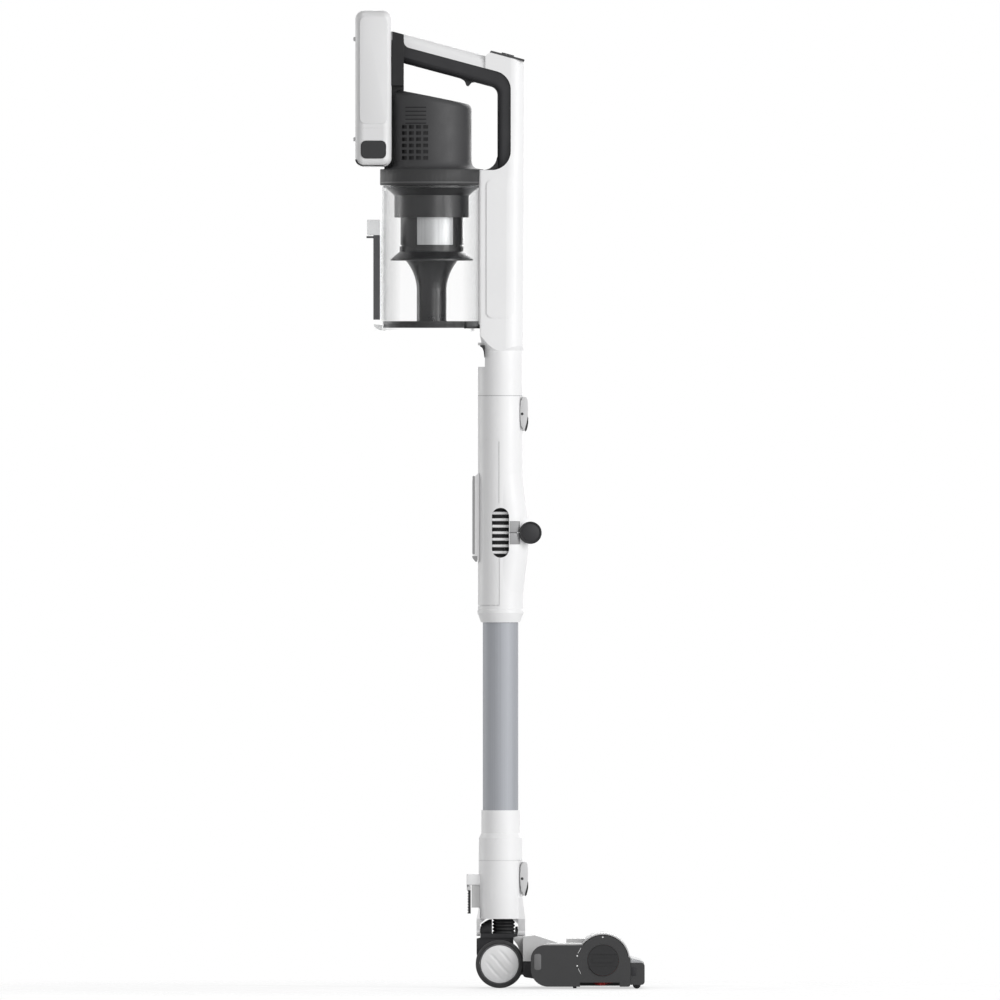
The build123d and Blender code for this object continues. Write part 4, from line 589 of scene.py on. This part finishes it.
# Dark corners that round off the rear of the handle's white shell
corner_curve = arc((-104.2, 1098.4), 8.0, 255, 180, 8)
corner = [(-112.8, 1098.4), (-112.8, 1091.8), (-106.3, 1090.2)] + corner_curve
trim("grip_corners", both_sides(side_plate(corner, -17.2, -16.6)), grip_dark, "hand_unit")

# Liner of the dock notch
notch = [(-23.8, 745.5), (-18.1, 745.5), (-18.1, 731.5), (-18.8, 731.5), (-19.6, 738.5), (-21.2, 742.6),
         (-23.8, 744.4)]
trim("dock_liner", side_plate(notch, -24.6, 24.6, 0.2), black_rubber, "hand_unit")

# Ring display round the mode button
button_low, button_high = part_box("mode_button")
button_r, button_rise = 7.5, 1.4
ring_shift, ring_lift = 0.4, 0.05
panel_turn = math.radians(15)
rise, run = math.sin(panel_turn), math.cos(panel_turn)
panel_up = (rise, 0, run)
display = ((button_low[0] + button_high[0]) / 2 / mm - ring_shift, 0.0,
           button_high[2] / mm - button_r * rise - button_rise * run + ring_lift)
ring = turned([(10.2, -0.2), (11.6, -0.2), (11.6, 0.25), (10.2, 0.25)], display, panel_up)
trim("display_ring", ring, mark_pale, "hand_unit")

# Release rockers: leaf-shaped saddle with cheeks, dark pin ends and a rubber tip. Z counts from the pivot
leaf_edge = [(30.0, 19.4), (31.2, 16.5), (31.7, 12.5), (31.9, 4.8), (31.5, -2.9), (30.4, -9.6), (28.6, -16.0)]
leaf = ([(26.1, 19.8)] + leaf_edge
        + [(27.6, -18.0), (26.6, -18.0), (24.2, -14.4), (23.1, -6.7), (22.6, 2.9), (23.4, 14.4)])
leaf_front = ([(27.0, 19.7)] + leaf_edge
              + [(28.2, -17.0), (27.8, -16.4), (27.6, -15.4), (29.2, -9.2), (30.3, -2.8), (30.7, 4.8),
                 (30.5, 12.3), (30.0, 15.9), (29.2, 18.2), (27.0, 18.5)])
rocker_tip = [(31.7, -3.0), (32.2, -5.0), (32.2, -10.6), (31.6, -14.0), (30.4, -18.8), (29.2, -20.2),
              (28.4, -20.2), (28.4, -17.0), (30.2, -11.0)]
for body, pivot_z in (("upper_rocker", upper_pivot_z), ("lower_rocker", lower_pivot_z)):
    cheek = side_plate([(x, pivot_z + z) for x, z in leaf], -15.2, -14.4, 0.2)
    saddle = side_plate([(x, pivot_z + z) for x, z in leaf_front], -14.9, 14.9)
    trim(body + "_saddle", joined(both_sides(cheek), saddle), soft_grey, body)
    pin_end = button_cap(1.6, 0.25, (rocker_pivot_x, -15.2, pivot_z), to_viewer)
    trim(body + "_pin_ends", both_sides(pin_end), black_rubber, body)
    tip = side_plate([(x, pivot_z + z) for x, z in rocker_tip], -8.3, 8.3, 0.2)
    trim(body + "_tip", tip, black_rubber, body)

# Slider tab's dark sole and the lid's clear hook
sole = block((-155.6, -7.6, 869.9), (-146.4, 7.6, 872.3), 0.5)
trim("slider_sole", sole, slider_grey, "lid_slider")
hook = side_plate([(-147.2, 769.8), (-146.6, 767.6), (-144.2, 765.0), (-140.0, 763.2), (-137.6, 763.2),
                   (-137.6, 769.2)], -6.5, 6.5, 0.4)
trim("lid_hook", hook, tab_clear, "cup_lid")

# Black sealing band inside the cup's foot, one part on the lid and one on the cup
band = ring_arc(52.5, 56.2, 766.0, 773.4, -180.0, -48.0)
trim("lid_band", both_sides(band), black_rubber, "cup_lid")
foot_band = ring_arc(54.0, 58.4, 765.2, 773.4, -46.0, -14.0)
trim("cup_foot_band", both_sides(foot_band), black_rubber, "dust_cup")

# White hood over the neck's clip
hood = [(-39.4, 119.4), (-39.4, 129.6), (-37.6, 131.9), (-23.6, 131.9), (-23.6, 119.4)]
trim("clip_hood", side_plate(hood, -9.25, 9.25, 0.6), white_shell, "neck")

# Fold latch: dark hook at its foot, and a grey band along the rear edge of each side that is painted shade
latch_hook = [(-33.1, 501.0), (-32.4, 498.6), (-29.2, 494.4), (-27.2, 494.4), (-26.6, 501.0)]
trim("latch_hook", side_plate(latch_hook, -9.2, 9.2, 0.4), arm_grey, "fold_latch")
# Grey band on the latch's rear edge: painted shade
latch_shade_band = side_plate(pill(-32.5, -29.8, 503.0, 594.0, 1.2), -9.2, -8.8)
trim("latch_shade_bands", both_sides(latch_shade_band), arm_grey, "fold_latch")

# Rim and crown on the fold hinge's knobs
knob_face = (hinge_x, -24.0, fold_z)
knob_rim = [(10.8, -0.3), (12.9, -0.3), (12.9, 0.6), (12.3, 1.0), (11.3, 0.9), (10.8, 0.4)]
rim = turned(knob_rim, knob_face, to_viewer)
trim("hinge_knob_rims", both_sides(rim), cap_dark, "wand_upper")
crown = button_cap(10.2, 0.5, knob_face, to_viewer)
trim("hinge_knob_crowns", both_sides(crown), knob_dark, "wand_upper")

# Seam lines round the wand and the neck, and down the sides of the fold's cover
for name, body, radius, z in (("wand_seam", "wand_upper", 26.25, 687.1), ("neck_seam", "neck", 25.35, 147.7)):
    inner_r, low_z, high_z = radius - 0.4, z - 0.4, z + 0.2
    seam = [(inner_r, low_z), (radius, low_z), (radius, high_z), (inner_r, high_z)]
    trim(name, turned(seam, (0, 0, 0), up, steps=96), seam_grey, body)
cover_seam = side_plate(pill(-2.0, -1.5, 562.0, 634.0, 0.2), -26.35, -25.9)
trim("cover_seam", both_sides(cover_seam), seam_grey, "wand_upper")

# Dark boss of the yoke's swivel
boss = [(3.0, -22.6), (7.6, -22.6), (9.0, -20.5), (10.8, -18.0), (12.4, -15.2), (13.4, -12.5), (13.4, -9.9),
        (3.0, -9.9)]
trim("swivel_boss", turned(boss, (0, 0, swivel_z), to_nose), base_dark, "yoke")

# Floor head: side slots, lock marks, bumper recesses, fairing tongue, brush seal, lamps in the light strip
slot_plate = side_plate(pill(38.9, 47.0, 22.0, 40.6, 2.5), -130.35, -129.6, 0.3)
trim("plate_slots", both_sides(slot_plate), slot_grey, "floor_head")
dots = ((88.7, 38.3), (88.7, 26.7), (118.3, 59.9))
marks = [button_cap(0.95, 0.3, (x, side_y, z), to_viewer) for x, z in dots]
for x, z, x_end, z_end in ((89.6, 41.4, 92.8, 47.4), (89.6, 23.6, 92.8, 17.6)):
    marks.append(side_plate([(x, z), (x + 0.5, z), (x_end + 0.5, z_end), (x_end, z_end)], -130.25, -129.7))
trim("lock_marks", joined(*marks), mark_pale, "floor_head")
recess = side_plate(pill(151.6, 157.2, 15.0, 25.5, 1.2), -127.3, -126.6, 0.2)
trim("bumper_recesses", both_sides(recess), base_dark, "floor_head")
tongue = [(15.0, 58.6), (20.0, 60.0), (26.4, 60.0), (26.4, 31.5), (25.0, 31.5), (23.5, 40.0), (19.5, 50.0),
          (15.0, 56.0)]
trim("fairing_tongue", side_plate(tongue, -30.0, 30.0, 0.6), fairing_grey, "floor_head")
seal = block((90.0, 121.0, 0.7), (140.0, 123.8, 9.0), 0.4)
trim("brush_seal", seal, black_rubber, "floor_head")
lamps = [button_cap(2.0, 1.2, (150.7, y, 32.9), to_nose) for y in range(-100, 101, 40)]
trim("head_lamps", joined(*lamps), lamp_pale, "floor_head")


# Floor, light and camera
def mixed(tree, share, first, second):
    """Mix of two shaders by a share."""
    node = tree.nodes.new("ShaderNodeMixShader")
    tree.links.new(share, node.inputs["Fac"])
    tree.links.new(first, node.inputs[1])
    tree.links.new(second, node.inputs[2])
    return node.outputs["Shader"]


def seen_directly(tree):
    """One for rays from the camera, in gloss and through clear plastic, otherwise zero."""
    path = tree.nodes.new("ShaderNodeLightPath")
    total = path.outputs["Is Camera Ray"]
    for kind in ("Is Glossy Ray", "Is Transmission Ray"):
        highest = tree.nodes.new("ShaderNodeMath")
        highest.operation = "MAXIMUM"
        tree.links.new(total, highest.inputs[0])
        tree.links.new(path.outputs[kind], highest.inputs[1])
        total = highest.outputs["Value"]
    return total


studio_light = 0.34
studio = bpy.data.worlds.new("studio")
studio.use_nodes = True
scene.world = studio
sky = studio.node_tree
backdrop = sky.nodes.new("ShaderNodeBackground")
backdrop.inputs["Color"].default_value = (1, 1, 1, 1)
glow = sky.nodes.new("ShaderNodeBackground")
glow.inputs["Color"].default_value = (1, 1, 1, 1)
glow.inputs["Strength"].default_value = studio_light
sky.links.new(mixed(sky, seen_directly(sky), glow.outputs["Background"], backdrop.outputs["Background"]),
              sky.nodes["World Output"].inputs["Surface"])

floor_shape = bmesh.new()
bmesh.ops.create_grid(floor_shape, x_segments=1, y_segments=1, size=4.0)
floor_mesh = bpy.data.meshes.new("floor")
floor_shape.to_mesh(floor_mesh)
floor_shape.free()
floor = bpy.data.objects.new("floor", floor_mesh)
scene.collection.objects.link(floor)


def pale_floor():
    """Pale floor that keeps the shadow near the object and fades into the white background."""
    finish, tree, shader, coords = new_finish("floor_pale")
    tree.links.new(tint(tree, mottle(tree, coords, 3, 2), (0.84, 0.84, 0.84), (0.87, 0.87, 0.87)),
                   shader.inputs["Base Color"])
    tree.links.new(span(tree, mottle(tree, coords, 9, 3), 0.6, 0.75), shader.inputs["Roughness"])
    white = tree.nodes.new("ShaderNodeEmission")
    lifted = span(tree, seen_directly(tree), 0.0, 0.6, 0.0, 1.0)
    surface = mixed(tree, lifted, shader.outputs["BSDF"], white.outputs["Emission"])
    reach = tree.nodes.new("ShaderNodeVectorMath")
    reach.operation = "LENGTH"
    tree.links.new(coords, reach.inputs[0])
    away = span(tree, reach.outputs["Value"], 0.0, 1.0, 0.25, 0.9)
    clear = tree.nodes.new("ShaderNodeBsdfTransparent")
    tree.links.new(mixed(tree, away, surface, clear.outputs["BSDF"]),
                   tree.nodes["Material Output"].inputs["Surface"])
    return finish


floor_mesh.materials.append(pale_floor())


def lamp(name, place, aim, size, power):
    """Soft rectangular light, in metres and watts, that the camera doesn't see."""
    light = bpy.data.lights.new(name, "AREA")
    light.shape = "RECTANGLE"
    light.size, light.size_y = size
    light.energy = power
    holder = bpy.data.objects.new(name, light)
    holder.location = place
    holder.rotation_euler = (Vector(aim) - Vector(place)).to_track_quat("-Z", "Y").to_euler()
    holder.visible_camera = False
    scene.collection.objects.link(holder)


lamp("key_right", place=(2.1, -1.6, 1.2), aim=(0, 0, 0.6), size=(1.0, 2.0), power=39)
lamp("front_soft", place=(0.9, -2.6, 1.2), aim=(0, 0, 0.55), size=(1.2, 1.8), power=20)
lamp("left_soft", place=(-2.4, 1.2, 1.1), aim=(0, 0, 0.6), size=(1.0, 1.8), power=16)
lamp("back_soft", place=(0.5, 2.5, 1.5), aim=(0, 0, 0.6), size=(2.0, 1.8), power=36)

# A long lens from far away, because the photograph shows almost no perspective
camera_x, camera_distance, camera_height = -0.0006, 48.0, 0.566
lens_data = bpy.data.cameras.new("camera")
lens_data.lens = 1488.75
lens_data.sensor_width = 36.0
lens_data.clip_end = 100.0
camera = bpy.data.objects.new("camera", lens_data)
camera.location = (camera_x, -camera_distance, camera_height)
camera.rotation_euler = (math.radians(90), 0, 0)
scene.collection.objects.link(camera)
scene.camera = camera
scene.view_settings.view_transform = "Standard"
